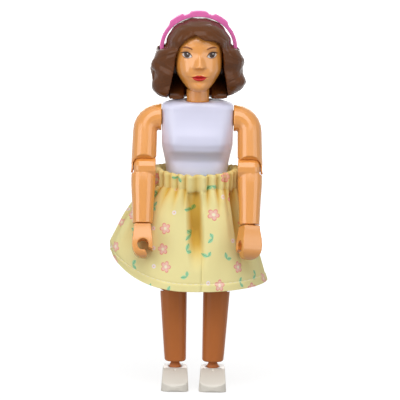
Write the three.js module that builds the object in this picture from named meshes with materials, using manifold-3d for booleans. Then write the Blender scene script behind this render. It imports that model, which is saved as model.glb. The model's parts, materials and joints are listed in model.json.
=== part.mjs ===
// Articulated miniature doll: a moulded plastic body with friction joints, a snap-on wig with
// a headband, and a gathered cloth skirt. Millimetres, +Z up, and the doll faces -Y.
import * as THREE from "three";
import { mergeVertices } from "three/addons/utils/BufferGeometryUtils.js";
import Module from "manifold-3d";

const wasm = await Module();
wasm.setup();

// Fits
const clearance = 0.3;
const shellWall = 1.4;

// Heights that stack up from the floor
const shoeHeight = 5.8;
const ankleGap = 1.5;
const shinLength = 22.6;
const thighLength = 18;
const hipToWaist = 9.6;
const waistToShoulder = 17.5;
const shoulderToTop = 4.8;
const neckLength = 3.45;
const headHeight = 17.8;

// Legs and shoes
const legGap = 4.4;
const thighWidth = 7.7;
const hipHeadRadius = 4.6;
const kneeWidth = 7.6;
const kneeRadius = 3.5;
const ankleWidth = 5.9;
const ankleDepth = 5.8;
const shinEdge = 0.3;
const shoeSoleWidth = 7.6;
const shoeTopWidth = 6.7;
const shoeHeel = 4;
const shoeToe = 8.3;
const shoeToeHeight = 2.2;
const shoeCollarFront = 2.4;
const shoeToeRound = 1.8;
const shoeDimpleRadius = 0.45;
const ankleBallRadius = 1.8;
const ankleNeckRadius = 1.15;
const ankleFlareRadius = 1.75;
const ankleStemLength = 3.2;

// Pins, axles and pegs
const hipAxleRadius = 1.5;
const kneePinRadius = 0.9;
const kneeTongueThickness = 2.4;
const kneeTongueRadius = 2.4;
const elbowPinRadius = 0.7;
const elbowCheekRadius = 1.45;
const wristPegRadius = 1.3;
const wristPegLength = 4.4;
const shoulderStubRadius = 2;
const shoulderStubLength = 3.2;
const shoulderSnapRadius = 2.6;
const shoulderSnapLength = 1.2;
const neckPegRadius = 2;
const neckPegLength = 6;
const neckBarHalfWidth = 4.8;
const neckBarHalfDepth = 2.2;
const neckBarHeight = 1.4;
const neckBarDrop = 1;

// Torso and hips
const waistHalfWidth = 8.8;
const waistFront = 4.7;
const waistBack = 4.4;
const bustHalfWidth = 9.9;
const bustFront = 5.9;
const bustBack = 4.7;
const bustSwell = 1.9;
const bustShelf = 6.4;
const bustShare = 0.495;
const shoulderHalfWidth = 9.7;
const hipHalfWidth = 9.7;
const hipFront = 4.8;
const hipBack = 5.2;
const crotchWidth = 3.8;
const spigotHeight = 3.6;
const neckRadius = 3.1;

// Arms
const armRestAngle = 20;
const armOffset = 4.85;
const shoulderRadius = 3.75;
const shoulderBend = 3.8;
const shoulderGap = 0.15;
const upperArmRadius = 3.35;
const upperArmLean = 0.3;
const upperArmLength = 14.1;
const elbowRadius = 3.15;
const elbowHalfWidth = 3.5;
const elbowHalfDepth = 3.85;
const elbowGap = 0.2;
const elbowDomeInner = 3.35;
const elbowDomeOuter = 2.6;
const elbowDomePower = 3.4;
const elbowPinInner = 2.2;
const elbowFrontCut = 3.1;
const forearmLength = 15.4;
const forearmTopHalfWidth = 3.35;
const forearmTopHalfDepth = 2.9;
const wristHalfWidth = 2.8;
const wristHalfDepth = 2.55;
const handLength = 9.6;
const handHalfWidth = 2.95;
const handShift = 0.22;
const handThickness = 5.6;
const handWristWidth = 4.5;
const gripRadius = 1.55;
const gripCentre = 6;
const gripOpenFrom = -70;
const gripOpenTo = -27;
const leftHandTurn = -68;

// Head, hair and headband
const headTurn = 2.5;
const headHalfWidth = 6.65;
const faceFront = 7.9;
const skullBack = 6.4;
const noseLength = 1.7;
const eyeSpacing = 3.4;
const hairRise = 1.5;
const hairHalfWidth = 12.8;
const hairFront = 8.5;
const hairBack = 10.2;
const hairDrop = 3.1;
const hairOpeningDepth = 5.2;
const hairWave = 0.4;
const headbandInnerHalfWidth = 9.5;
const headbandAboveHair = 0.3;
const headbandThickness = 1.05;
const headbandStep = 0.6;
const headbandDepth = 2;
const headbandPlug = 2.4;
const headbandSetBack = 0.6;

// Skirt
const skirtTopDrop = 1.2;
const skirtLength = 26.9;
const skirtWaistHalfWidth = 10.4;
const skirtWaistFront = 6.15;
const skirtWaistBack = 6.45;
const skirtWaistPower = 2.6;
const skirtHemPower = 1.85;
const skirtFlareCurve = 0.92;
const skirtSwingCurve = 0.62;
const skirtHemRight = 24.8;
const skirtHemLeft = 19.6;
const skirtHemFront = 13.6;
const skirtHemBack = 13;
const skirtLiftRight = 8.9;
const skirtLiftLeft = 1;
const skirtLiftPower = 2.9;
const skirtLiftBack = 5;
const skirtFolds = [
  { angle: -90, width: 8, depth: 2.8 },
  { angle: -36, width: 8, depth: 1.7 },
  { angle: -128, width: 7, depth: 0.9 },
  { angle: -8, width: 9, depth: 0.8 },
  { angle: 28, width: 9, depth: 1.2 },
  { angle: 66, width: 9, depth: 1.8 },
  { angle: 104, width: 9, depth: 1.8 },
  { angle: 148, width: 9, depth: 1.2 },
  { angle: 186, width: 8, depth: 0.8 },
];
const backFoldCarry = 0.9;
const clothWall = 0.4;
const waistbandHeight = 4.4;
const waistbandThickness = 1.9;
const gatherDepth = 0.4;
const gatherCount = 18;
const elasticHeight = 2.4;
const elasticThickness = 0.3;

// Facets round a limb, a pin, a hinge and a large form
const limbFacets = 20;
const pinFacets = 12;
const hingeFacets = 14;
const formFacets = 32;

const TURN = 2 * Math.PI;
const toRad = THREE.MathUtils.degToRad;
const kneeHeight = shoeHeight + ankleGap + shinLength;
const hipHeight = kneeHeight + thighLength;
const waistHeight = hipHeight + hipToWaist;
const torsoHeight = waistToShoulder + shoulderToTop;
const jawHeight = waistHeight + torsoHeight + neckLength;
const legInner = legGap / 2;
const headbandSeat = headHeight * 0.617;
const headbandInnerHeight = headHeight + hairRise + headbandAboveHair - headbandSeat;

// Solids from closed geometries, and geometries back from solids
function solid(geometry) {
  const bare = geometry.index ? geometry.toNonIndexed() : geometry.clone();
  const points = new THREE.BufferGeometry();
  points.setAttribute("position", bare.getAttribute("position"));
  const merged = mergeVertices(points, 1e-4);
  const faces = merged.index.array;
  const kept = [];
  for (let i = 0; i < faces.length; i += 3) {
    const [a, b, c] = [faces[i], faces[i + 1], faces[i + 2]];
    if (a !== b && b !== c && c !== a) kept.push(a, b, c);
  }
  const vertProperties = merged.getAttribute("position").array;
  const triVerts = new Uint32Array(kept);
  return new wasm.Manifold(new wasm.Mesh({ numProp: 3, vertProperties, triVerts }));
}

function geometryOf(manifold) {
  const mesh = manifold.getMesh();
  const corners = [];
  for (let i = 0; i < mesh.numVert; i++) {
    const at = i * mesh.numProp;
    corners.push(mesh.vertProperties[at], mesh.vertProperties[at + 1], mesh.vertProperties[at + 2]);
  }
  const geometry = new THREE.BufferGeometry();
  geometry.setAttribute("position", new THREE.Float32BufferAttribute(corners, 3));
  geometry.setIndex(new THREE.Uint32BufferAttribute(Array.from(mesh.triVerts), 1));
  return geometry;
}

function mirrored(geometry) {
  const copy = geometry.clone().scale(-1, 1, 1);
  const faces = copy.index.array;
  for (let i = 0; i < faces.length; i += 3) {
    [faces[i + 1], faces[i + 2]] = [faces[i + 2], faces[i + 1]];
  }
  return copy;
}

// A closed skin over rings of equal point counts. The ends are closed by fans.
function skin(rings) {
  const count = rings[0].length;
  const positions = [];
  const index = [];
  const corner = (k, i) => k * count + (i % count);
  for (const ring of rings) {
    for (const p of ring) positions.push(p.x, p.y, p.z);
  }
  for (let k = 0; k + 1 < rings.length; k++) {
    for (let i = 0; i < count; i++) {
      index.push(corner(k, i), corner(k, i + 1), corner(k + 1, i + 1));
      index.push(corner(k, i), corner(k + 1, i + 1), corner(k + 1, i));
    }
  }
  const last = rings.length - 1;
  for (const k of [0, last]) {
    const middle = new THREE.Vector3();
    for (const p of rings[k]) middle.addScaledVector(p, 1 / count);
    const centre = positions.length / 3;
    positions.push(middle.x, middle.y, middle.z);
    for (let i = 0; i < count; i++) {
      const [from, to] = k === 0 ? [i + 1, i] : [i, i + 1];
      index.push(centre, corner(k, from), corner(k, to));
    }
  }
  const geometry = new THREE.BufferGeometry();
  geometry.setAttribute("position", new THREE.Float32BufferAttribute(positions, 3));
  geometry.setIndex(index);
  return geometry;
}

// A closed tube whose rings join end to end, as a hoop of cloth or elastic does.
function hoop(sections) {
  const count = sections[0].length;
  const total = sections.length;
  const positions = [];
  const index = [];
  const corner = (k, i) => (k % total) * count + (i % count);
  for (const section of sections) {
    for (const p of section) positions.push(p.x, p.y, p.z);
  }
  for (let k = 0; k < total; k++) {
    for (let i = 0; i < count; i++) {
      index.push(corner(k, i), corner(k, i + 1), corner(k + 1, i + 1));
      index.push(corner(k, i), corner(k + 1, i + 1), corner(k + 1, i));
    }
  }
  const geometry = new THREE.BufferGeometry();
  geometry.setAttribute("position", new THREE.Float32BufferAttribute(positions, 3));
  geometry.setIndex(index);
  return geometry;
}

const bulge = (value, power) => Math.sign(value) * Math.abs(value) ** (2 / power);
const bell = (offset, width) => Math.exp(-((offset / width) ** 2));
const mix = THREE.MathUtils.lerp;

// A loft along Z: stations give the left, right, front and back limits of a superellipse, and
// a relief function may move each point of the skin.
const LIMITS = ["left", "right", "front", "back", "power"];

function loft(stations, steps, count, relief = () => {}) {
  const heights = stations.map((s) => s.z);
  const values = stations.flatMap((s) => LIMITS.map((name) => s[name]));
  const curve = new THREE.CubicInterpolant(heights, values, LIMITS.length);
  const rings = [];
  for (let k = 0; k + 1 < stations.length; k++) {
    const inLast = k + 2 === stations.length;
    for (let j = 0; j < steps + (inLast ? 1 : 0); j++) {
      const z = mix(heights[k], heights[k + 1], j / steps);
      const [left, right, front, back, power] = curve.evaluate(z);
      const ring = [];
      for (let i = 0; i < count; i++) {
        const turn = (TURN * i) / count;
        const x = mix(left, right, (1 + bulge(Math.cos(turn), power)) / 2);
        const y = mix(front, back, (1 + bulge(Math.sin(turn), power)) / 2);
        const point = new THREE.Vector3(x, y, z);
        relief(point, turn);
        ring.push(point);
      }
      rings.push(ring);
    }
  }
  return skin(rings);
}

const station = (z, left, right, front, back, power = 2) => ({ z, left, right, front, back, power });
const evenStation = (z, half, front, back, power) => station(z, -half, half, -front, back, power);

function grown(stations, by) {
  return stations.map((s) => ({
    ...s,
    left: s.left - by,
    right: s.right + by,
    front: s.front - by,
    back: s.back + by,
  }));
}

// Turned and plain shapes
function rod(radius, length, facets = pinFacets) {
  return new THREE.CylinderGeometry(radius, radius, length, facets);
}

const rodAlongX = (radius, length, facets) => rod(radius, length, facets).rotateZ(Math.PI / 2);
const rodAlongY = (radius, length, facets) => rod(radius, length, facets);
const rodAlongZ = (radius, length, facets) => rod(radius, length, facets).rotateX(Math.PI / 2);

function block(x0, x1, y0, y1, z0, z1) {
  const box = new THREE.BoxGeometry(x1 - x0, y1 - y0, z1 - z0);
  return box.translate((x0 + x1) / 2, (y0 + y1) / 2, (z0 + z1) / 2);
}

// A turned solid about Z from [radius, height] pairs that run from the bottom up.
function turned(profile, facets = pinFacets) {
  const points = profile.map(([radius, height]) => new THREE.Vector2(radius, height));
  return new THREE.LatheGeometry(points, facets).rotateX(Math.PI / 2);
}

function extrudedAlong(shape, depth, axis, curveSegments = 8) {
  const options = { depth, bevelEnabled: false, curveSegments };
  const geometry = new THREE.ExtrudeGeometry(shape, options).translate(0, 0, -depth / 2);
  if (axis === "x") geometry.rotateX(Math.PI / 2).rotateZ(Math.PI / 2);
  if (axis === "y") geometry.rotateX(Math.PI / 2);
  return geometry;
}

// A hinge barrel about X, full in the middle and drawn in towards its ends like a dome.
function hingeBarrel(radius, halfWidth, extra = 0) {
  const profile = [[0, -halfWidth - extra]];
  const steps = 6;
  for (let i = 0; i <= steps; i++) {
    const along = mix(-1, 1, i / steps);
    const drawnIn = 1 - 0.28 * along ** 4;
    profile.push([radius * drawnIn + extra, along * (halfWidth + extra)]);
  }
  profile.push([0, halfWidth + extra]);
  return turned(profile, hingeFacets).rotateY(Math.PI / 2);
}

// Leg: the shoe turns on the ball of the ankle post, which is pressed into the shin
const ankleX = legInner + ankleWidth / 2;

function anklePostProfile(grow) {
  const ballCentre = shoeHeight - ankleBallRadius - 0.9;
  const profile = [];
  const ballSteps = 6;
  const neckAngle = Math.acos(ankleNeckRadius / ankleBallRadius);
  for (let i = 0; i <= ballSteps; i++) {
    const angle = mix(-Math.PI / 2, neckAngle, i / ballSteps);
    const radius = Math.max(0, (ankleBallRadius + grow) * Math.cos(angle));
    profile.push([i === 0 ? 0 : radius, ballCentre + (ankleBallRadius + grow) * Math.sin(angle)]);
  }
  profile.push([ankleFlareRadius + grow, shoeHeight - 0.15]);
  return profile;
}

function makeAnklePost() {
  const stemTop = shoeHeight + ankleGap + ankleStemLength;
  const profile = anklePostProfile(0);
  profile.push([ankleFlareRadius - 0.15, shoeHeight + 0.2]);
  profile.push([ankleNeckRadius, shoeHeight + ankleGap - 0.35]);
  profile.push([ankleNeckRadius, stemTop], [0, stemTop]);
  return geometryOf(solid(turned(profile)));
}

function makeShoe() {
  const side = new THREE.Shape();
  side.moveTo(shoeHeel - 0.5, 0);
  side.quadraticCurveTo(shoeHeel, 0.1, shoeHeel, 1);
  side.quadraticCurveTo(shoeHeel, shoeHeight - 0.8, shoeHeel - 1.1, shoeHeight);
  side.lineTo(-shoeCollarFront, shoeHeight - 0.2);
  side.bezierCurveTo(
    -shoeCollarFront - 1.4, shoeHeight - 0.5,
    -shoeToe + 2.4, shoeToeHeight + 1.6,
    -shoeToe + 0.5, shoeToeHeight,
  );
  side.quadraticCurveTo(-shoeToe, shoeToeHeight - 0.5, -shoeToe, 1);
  side.quadraticCurveTo(-shoeToe, 0.1, -shoeToe + 0.5, 0);

  const plan = new THREE.Shape();
  const half = shoeSoleWidth / 2;
  const toeStart = -shoeToe + shoeToeRound;
  const toeReach = -shoeToe - shoeToeRound / 3;
  plan.moveTo(half, toeStart);
  plan.lineTo(half - 0.4, shoeHeel - 3);
  plan.bezierCurveTo(half - 0.4, shoeHeel, -half + 0.4, shoeHeel, -half + 0.4, shoeHeel - 3);
  plan.lineTo(-half, toeStart);
  plan.bezierCurveTo(-half, toeReach, half, toeReach, half, toeStart);

  const front = new THREE.Shape();
  const topHalf = shoeTopWidth / 2;
  front.moveTo(-half, 0);
  front.lineTo(half, 0);
  front.lineTo(topHalf, shoeHeight - 0.5);
  front.lineTo(topHalf - 0.3, shoeHeight + 0.1);
  front.lineTo(-topHalf + 0.3, shoeHeight + 0.1);
  front.lineTo(-topHalf, shoeHeight - 0.5);

  const span = 4 * (shoeHeel + shoeToe);
  const body = solid(extrudedAlong(side, span, "x", 6))
    .intersect(solid(extrudedAlong(plan, span, "z", 10)))
    .intersect(solid(extrudedAlong(front, span, "y", 2)));
  const mouth = ankleFlareRadius + clearance;
  const socket = anklePostProfile(clearance);
  socket.push([mouth, shoeHeight + 1], [0, shoeHeight + 1]);
  const dimple = new THREE.SphereGeometry(shoeDimpleRadius, 8, 6)
    .translate(0, -shoeCollarFront - 0.9, shoeHeight - 0.55);
  return geometryOf(body.subtract(solid(turned(socket))).subtract(solid(dimple)));
}

// The shin's local origin is the knee axis. Its tongue stands up into the thigh's slot.
function makeShin() {
  const inner = legInner;
  const calf = kneeRadius + 0.25;
  const low = -shinLength;
  const limits = (share, front, back) => {
    const width = mix(ankleWidth, kneeWidth, share);
    return station(low * (1 - share), inner, inner + width, -front, back, 2.4);
  };
  const half = ankleDepth / 2;
  const [foot] = grown([limits(0, half, half)], -shinEdge);
  const body = loft(
    [
      foot,
      { ...limits(0, half, half), z: low + shinEdge },
      { ...limits(0, half, half), z: low + 2 * shinEdge },
      limits(0.1, half + 0.05, half + 0.1),
      limits(0.34, half + 0.2, calf - 0.4),
      limits(0.7, half + 0.5, calf),
      limits(1, kneeRadius - 0.2, kneeRadius),
    ],
    1,
    limbFacets,
  );
  const kneeX = inner + kneeWidth / 2;
  const dome = hingeBarrel(kneeRadius, kneeWidth / 2, clearance).translate(kneeX, 0, 0);
  const over = kneeRadius + 2;
  const above = block(inner - 1, inner + kneeWidth + 1, -over, over, -kneeRadius * 0.45, over);
  const behind = block(inner - 1, inner + kneeWidth + 1, 0, over, -kneeRadius - clearance, over);
  const halfTongue = kneeTongueThickness / 2;
  const tongue = solid(rodAlongX(kneeTongueRadius, kneeTongueThickness, pinFacets))
    .add(solid(block(-halfTongue, halfTongue, -1.5, 1.5, -kneeRadius - 1.5, 0)))
    .subtract(solid(rodAlongX(kneePinRadius + clearance, thighWidth * 2)));
  const bore = rodAlongZ(ankleNeckRadius + clearance, 2 * (ankleStemLength + clearance));
  return geometryOf(
    solid(body)
      .subtract(solid(dome))
      .subtract(solid(above))
      .subtract(solid(behind))
      .add(tongue.translate([kneeX, 0, 0]))
      .subtract(solid(bore.translate(ankleX, 0, low))),
  );
}

// The thigh's local origin is the hip axis.
function makeThigh() {
  const inner = legInner;
  const limits = (z, width, depth) => station(z, inner, inner + width, -depth, depth, 2.6);
  const kneeX = inner + kneeWidth / 2;
  const low = -thighLength;
  const body = loft(
    [
      limits(low, kneeWidth - 0.2, kneeRadius - 0.15),
      limits(low * 0.55, mix(kneeWidth, thighWidth, 0.45), mix(kneeRadius, hipHeadRadius, 0.6)),
      limits(0, thighWidth - 0.4, hipHeadRadius - 0.3),
    ],
    2,
    limbFacets,
  );
  const hipX = inner + thighWidth / 2;
  const head = hingeBarrel(hipHeadRadius, thighWidth / 2).translate(hipX, 0, 0);
  const dome = hingeBarrel(kneeRadius, kneeWidth / 2).translate(kneeX, 0, low);
  const slotHalf = kneeTongueThickness / 2 + clearance;
  const reach = kneeRadius + 2;
  const slot = solid(rodAlongX(kneeTongueRadius + clearance, 2 * slotHalf, pinFacets))
    .add(solid(block(-slotHalf, slotHalf, -1.8, reach, -reach, 1.8)))
    .translate([kneeX, 0, low]);
  return geometryOf(
    solid(body)
      .add(solid(head))
      .add(solid(dome))
      .subtract(slot)
      .subtract(solid(rodAlongX(kneePinRadius + clearance, kneeWidth + 2).translate(kneeX, 0, low)))
      .subtract(solid(rodAlongX(hipAxleRadius + clearance, thighWidth + 2).translate(hipX, 0, 0))),
  );
}

const makeKneePin = () => geometryOf(solid(rodAlongX(kneePinRadius, kneeWidth - 1)));

// Hips: the pelvis carries both thighs on one axle and plugs into the torso
function hipStations() {
  return [
    evenStation(-hipHeadRadius - 0.6, crotchWidth / 2, 2.2, 2.6, 2.2),
    evenStation(-hipHeadRadius * 0.4, hipHalfWidth * 0.6, hipFront - 0.6, hipBack - 0.4, 2.2),
    evenStation(hipToWaist * 0.25, hipHalfWidth, hipFront, hipBack, 2.3),
    evenStation(hipToWaist * 0.62, hipHalfWidth - 0.3, hipFront, hipBack - 0.2, 2.3),
    evenStation(hipToWaist, waistHalfWidth, waistFront, waistBack, 2.3),
  ];
}

function makePelvis() {
  const cover = hipHeadRadius + clearance;
  const web = crotchWidth / 2;
  const far = hipHalfWidth + 2;
  let body = solid(loft(hipStations(), 2, formFacets));
  for (const side of [-1, 1]) {
    const [x0, x1] = side < 0 ? [-far, -web] : [web, far];
    const round = rodAlongX(cover, far - web, limbFacets).translate((x0 + x1) / 2, 0, 0);
    body = body
      .subtract(solid(round))
      .subtract(solid(block(x0, x1, -far, 0, -far, cover)))
      .subtract(solid(block(x0, x1, -far, far, -far, 0)));
  }
  const insetBy = shellWall + clearance;
  const spigot = loft(
    grown(
      [
        evenStation(hipToWaist - 1, waistHalfWidth, waistFront, waistBack, 2.3),
        evenStation(hipToWaist + spigotHeight, waistHalfWidth - 0.3, waistFront, waistBack, 2.3),
      ],
      -insetBy,
    ),
    1,
    limbFacets,
  );
  return geometryOf(
    body
      .add(solid(spigot))
      .subtract(solid(rodAlongX(hipAxleRadius + clearance, 2 * far))),
  );
}

const hipAxleLength = 2 * (legInner + thighWidth) - 1;
const makeHipAxle = () => geometryOf(solid(rodAlongX(hipAxleRadius, hipAxleLength)));

// Torso: two shells that meet on the side seams and clamp the neck bar and shoulder stubs
function torsoStations() {
  const top = torsoHeight;
  const ribHalfWidth = mix(waistHalfWidth, bustHalfWidth, 0.35);
  return [
    evenStation(0, waistHalfWidth, waistFront, waistBack, 2.3),
    evenStation(torsoHeight * 0.13, waistHalfWidth - 0.4, waistFront - 0.15, waistBack, 2.3),
    evenStation(torsoHeight * 0.34, ribHalfWidth, waistFront + 0.1, waistBack, 2.4),
    evenStation(torsoHeight * bustShare, bustHalfWidth, bustFront, bustBack, 2.7),
    evenStation(torsoHeight * 0.7, bustHalfWidth + 0.15, bustFront - 0.5, bustBack + 0.2, 2.8),
    evenStation(torsoHeight * 0.88, bustHalfWidth + 0.1, bustFront - 0.9, bustBack + 0.1, 2.8),
    evenStation(top - 0.9, bustHalfWidth - 0.2, bustFront - 1.2, bustBack - 0.1, 2.7),
    evenStation(top, bustHalfWidth - 3.2, bustFront - 1.7, bustBack - 0.6, 2.4),
  ];
}

// The bust is one broad shelf: it rises gently from above and turns in more quickly below.
function bustRelief(point) {
  if (point.y > 0) return;
  const above = point.z - torsoHeight * bustShare;
  const height = bell(above, torsoHeight * (above < 0 ? 0.13 : 0.25));
  const sides = 1 - THREE.MathUtils.smoothstep(Math.abs(point.x), bustShelf, bustHalfWidth);
  point.y -= bustSwell * height * sides;
}

function makeTorso() {
  const outside = solid(loft(torsoStations(), 2, formFacets, bustRelief));
  const inset = grown(torsoStations(), -shellWall);
  inset[0].z = -1;
  const ceiling = torsoHeight - shellWall;
  inset[inset.length - 2].z = ceiling - 1.2;
  inset[inset.length - 1].z = ceiling;
  const inside = solid(loft(inset, 1, limbFacets));
  const far = 4 * bustHalfWidth;
  const joint = shoulderHalfWidth;
  const stubBore = rodAlongX(shoulderStubRadius + clearance, far).translate(0, 0, waistToShoulder);
  const neckBore = rodAlongZ(neckRadius + clearance, 4 * shellWall, limbFacets);
  const shell = outside
    .intersect(solid(block(-joint, joint, -far, far, -far, far)))
    .subtract(inside)
    .subtract(solid(stubBore))
    .subtract(solid(neckBore.translate(0, 0, torsoHeight)));
  return {
    front: geometryOf(shell.intersect(solid(block(-far, far, -far, 0, -far, far)))),
    back: geometryOf(shell.intersect(solid(block(-far, far, 0, far, -far, far)))),
  };
}

// The neck post's local origin is the top of the torso.
function makeNeckPost() {
  const barTop = -shellWall - neckBarDrop;
  const barLow = barTop - neckBarHeight;
  const columnTop = neckLength - clearance;
  const pegTop = columnTop + neckPegLength;
  const profile = [
    [0, barLow],
    [neckBarHalfDepth, barLow],
    [neckBarHalfDepth, barTop],
    [neckRadius, barTop + 0.3],
    [neckRadius, columnTop],
    [neckPegRadius, columnTop],
    [neckPegRadius, pegTop - 0.6],
    [neckPegRadius - 0.5, pegTop],
    [0, pegTop],
  ];
  const [w, d] = [neckBarHalfWidth, neckBarHalfDepth];
  const bar = block(-w, w, -d, d, barLow, barTop);
  return geometryOf(solid(turned(profile, limbFacets)).add(solid(bar)));
}

// Arm: the upper arm's local origin is the shoulder axis on the torso's joint plane
function armPath() {
  const straightTo = armOffset - upperArmLean - shoulderBend;
  const path = [{ x: shoulderGap, z: 0, angle: 0, radius: shoulderRadius }];
  const bendSteps = 6;
  for (let i = 0; i <= bendSteps; i++) {
    const angle = (i / bendSteps) * (Math.PI / 2);
    const x = straightTo + shoulderBend * Math.sin(angle);
    const z = -shoulderBend + shoulderBend * Math.cos(angle);
    path.push({ x, z, angle, radius: mix(shoulderRadius, upperArmRadius, Math.sin(angle)) });
  }
  const cuff = upperArmLength + elbowCheekRadius;
  path.push({ x: armOffset, z: -cuff, angle: Math.PI / 2, radius: elbowHalfWidth });
  return path;
}

function makeUpperArm() {
  const rings = armPath().map(({ x, z, angle, radius }) => {
    const ring = [];
    const depth = mix(radius, radius - elbowHalfWidth + elbowHalfDepth, angle / (Math.PI / 2));
    for (let i = 0; i < limbFacets; i++) {
      const turn = (TURN * i) / limbFacets;
      const across = radius * Math.cos(turn);
      ring.push(new THREE.Vector3(
        x + across * Math.sin(angle),
        -depth * Math.sin(turn),
        z + across * Math.cos(angle),
      ));
    }
    return ring;
  });
  const snapX = -shoulderStubLength;
  const stub = rodAlongX(shoulderStubRadius, -snapX + 1).translate((snapX + 1) / 2, 0, 0);
  const snap = rodAlongX(shoulderSnapRadius, shoulderSnapLength, limbFacets)
    .translate(snapX + 0.2 - shoulderSnapLength / 2, 0, 0);
  const elbow = [armOffset, 0, -upperArmLength];
  const dome = solid(elbowDome(elbowGap)).translate(elbow);
  const bore = solid(rodAlongX(elbowPinRadius + clearance, 4 * elbowHalfWidth)).translate(elbow);
  return geometryOf(
    solid(skin(rings))
      .subtract(solid(elbowRelief()).translate(elbow))
      .subtract(dome)
      .subtract(bore)
      .add(solid(stub))
      .add(solid(snap)),
  );
}

// What is cut from the end of the upper arm, drawn in side view about the elbow axis: it leaves
// a cup behind the dome, two round cheeks for the pin, and room in front for the bent forearm.
function elbowRelief() {
  const cheek = elbowCheekRadius;
  const far = elbowHalfDepth + 2;
  const relief = new THREE.Shape();
  relief.moveTo(-far, elbowFrontCut + 0.4);
  relief.quadraticCurveTo(-cheek - 0.2, elbowFrontCut, -cheek, 0);
  relief.absarc(0, 0, cheek, Math.PI, TURN, false);
  relief.lineTo(far, 0);
  relief.lineTo(far, -far);
  relief.lineTo(-far, -far);
  return extrudedAlong(relief, 4 * elbowHalfWidth, "x", 6);
}

// The dome of the forearm is full on the inside and rounds off under the outer cheek, which
// holds the pin.
function elbowDome(extra) {
  const [inner, outer] = [elbowDomeInner + extra, elbowDomeOuter + extra];
  const profile = [[0, -inner]];
  const steps = 8;
  for (let i = 0; i <= steps; i++) {
    const along = mix(-1, 1, i / steps);
    const share = along * (along < 0 ? 0.65 : 0.95);
    const radius = elbowRadius * (1 - Math.abs(share) ** elbowDomePower) ** (1 / elbowDomePower);
    profile.push([radius + extra, along * (along < 0 ? inner : outer)]);
  }
  profile.push([0, outer]);
  return turned(profile, hingeFacets).rotateY(Math.PI / 2);
}

// The forearm's local origin is the elbow axis.
function makeForearm() {
  const low = -forearmLength;
  const outer = (z, half, depth) => station(z, -half, half, -depth, depth, 2.2);
  const midHalfWidth = mix(wristHalfWidth, forearmTopHalfWidth, 0.45);
  const midHalfDepth = mix(wristHalfDepth, forearmTopHalfDepth, 0.6);
  const body = loft(
    [
      outer(low, wristHalfWidth, wristHalfDepth),
      outer(low * 0.6, midHalfWidth, midHalfDepth),
      outer(low * 0.25, forearmTopHalfWidth, forearmTopHalfDepth),
      outer(-elbowCheekRadius - elbowGap, forearmTopHalfWidth - 0.05, forearmTopHalfDepth - 0.1),
    ],
    2,
    limbFacets,
  );
  const pinBore = rodAlongX(elbowPinRadius + clearance, 2 * (elbowPinInner + clearance));
  const bore = rodAlongZ(wristPegRadius + clearance, 2 * (wristPegLength + clearance)).translate(0, 0, low);
  return geometryOf(
    solid(body)
      .add(solid(elbowDome(0)))
      .subtract(solid(pinBore.translate(elbowDomeOuter - elbowPinInner, 0, 0)))
      .subtract(solid(bore)),
  );
}

function makeElbowPin() {
  const [inner, outer] = [clearance + elbowDomeOuter - 2 * elbowPinInner, elbowHalfWidth - 0.2];
  return geometryOf(solid(rodAlongX(elbowPinRadius, outer - inner).translate((outer + inner) / 2, 0, 0)));
}

// The hand's local origin is the wrist axis on the forearm's lower face. Seen along the grip's
// axis it is a hook: fingers curl round the grip, and the thumb ends above the opening.
function makeHand() {
  const shape = new THREE.Shape();
  const wrist = handWristWidth / 2;
  const floor = -handLength;
  const [from, to] = [gripOpenFrom, gripOpenTo].map((angle) => toRad(angle));
  const onGrip = (angle, radius) => [
    handShift + radius * Math.cos(angle),
    -gripCentre + radius * Math.sin(angle),
  ];
  const knuckles = handShift - handHalfWidth;
  const [fingerX, fingerZ] = onGrip(from, handHalfWidth);
  const [thumbX, thumbZ] = onGrip(to, handHalfWidth);
  const [gapX, gapZ] = onGrip(from, gripRadius);
  shape.moveTo(-wrist, -clearance);
  shape.bezierCurveTo(-wrist, -2, knuckles, -gripCentre + 3.2, knuckles, -gripCentre);
  shape.bezierCurveTo(knuckles, floor + 1.4, handShift - 1.4, floor, handShift + 0.1, floor);
  shape.quadraticCurveTo(fingerX, floor, fingerX + 0.15, fingerZ);
  shape.lineTo(gapX, gapZ);
  shape.absarc(handShift, -gripCentre, gripRadius, from, to - TURN, true);
  shape.lineTo(thumbX, thumbZ - 0.1);
  shape.bezierCurveTo(thumbX + 0.1, thumbZ + 1.6, wrist + 0.3, -2.6, wrist, -clearance);

  const side = new THREE.Shape();
  const half = handThickness / 2;
  side.moveTo(-wrist, 0);
  side.bezierCurveTo(-wrist, -2.4, -half, -3.4, -half, -gripCentre);
  side.bezierCurveTo(-half, floor + 0.8, -half * 0.6, floor, 0, floor);
  side.bezierCurveTo(half * 0.6, floor, half, floor + 0.8, half, -gripCentre);
  side.bezierCurveTo(half, -3.4, wrist, -2.4, wrist, 0);

  const span = 4 * handThickness;
  const palm = solid(extrudedAlong(shape, span, "y", 7))
    .intersect(solid(extrudedAlong(side, span, "x", 7)));
  const peg = rodAlongZ(wristPegRadius, wristPegLength + 1).translate(0, 0, (wristPegLength - 1) / 2);
  return geometryOf(palm.add(solid(peg)));
}

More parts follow.
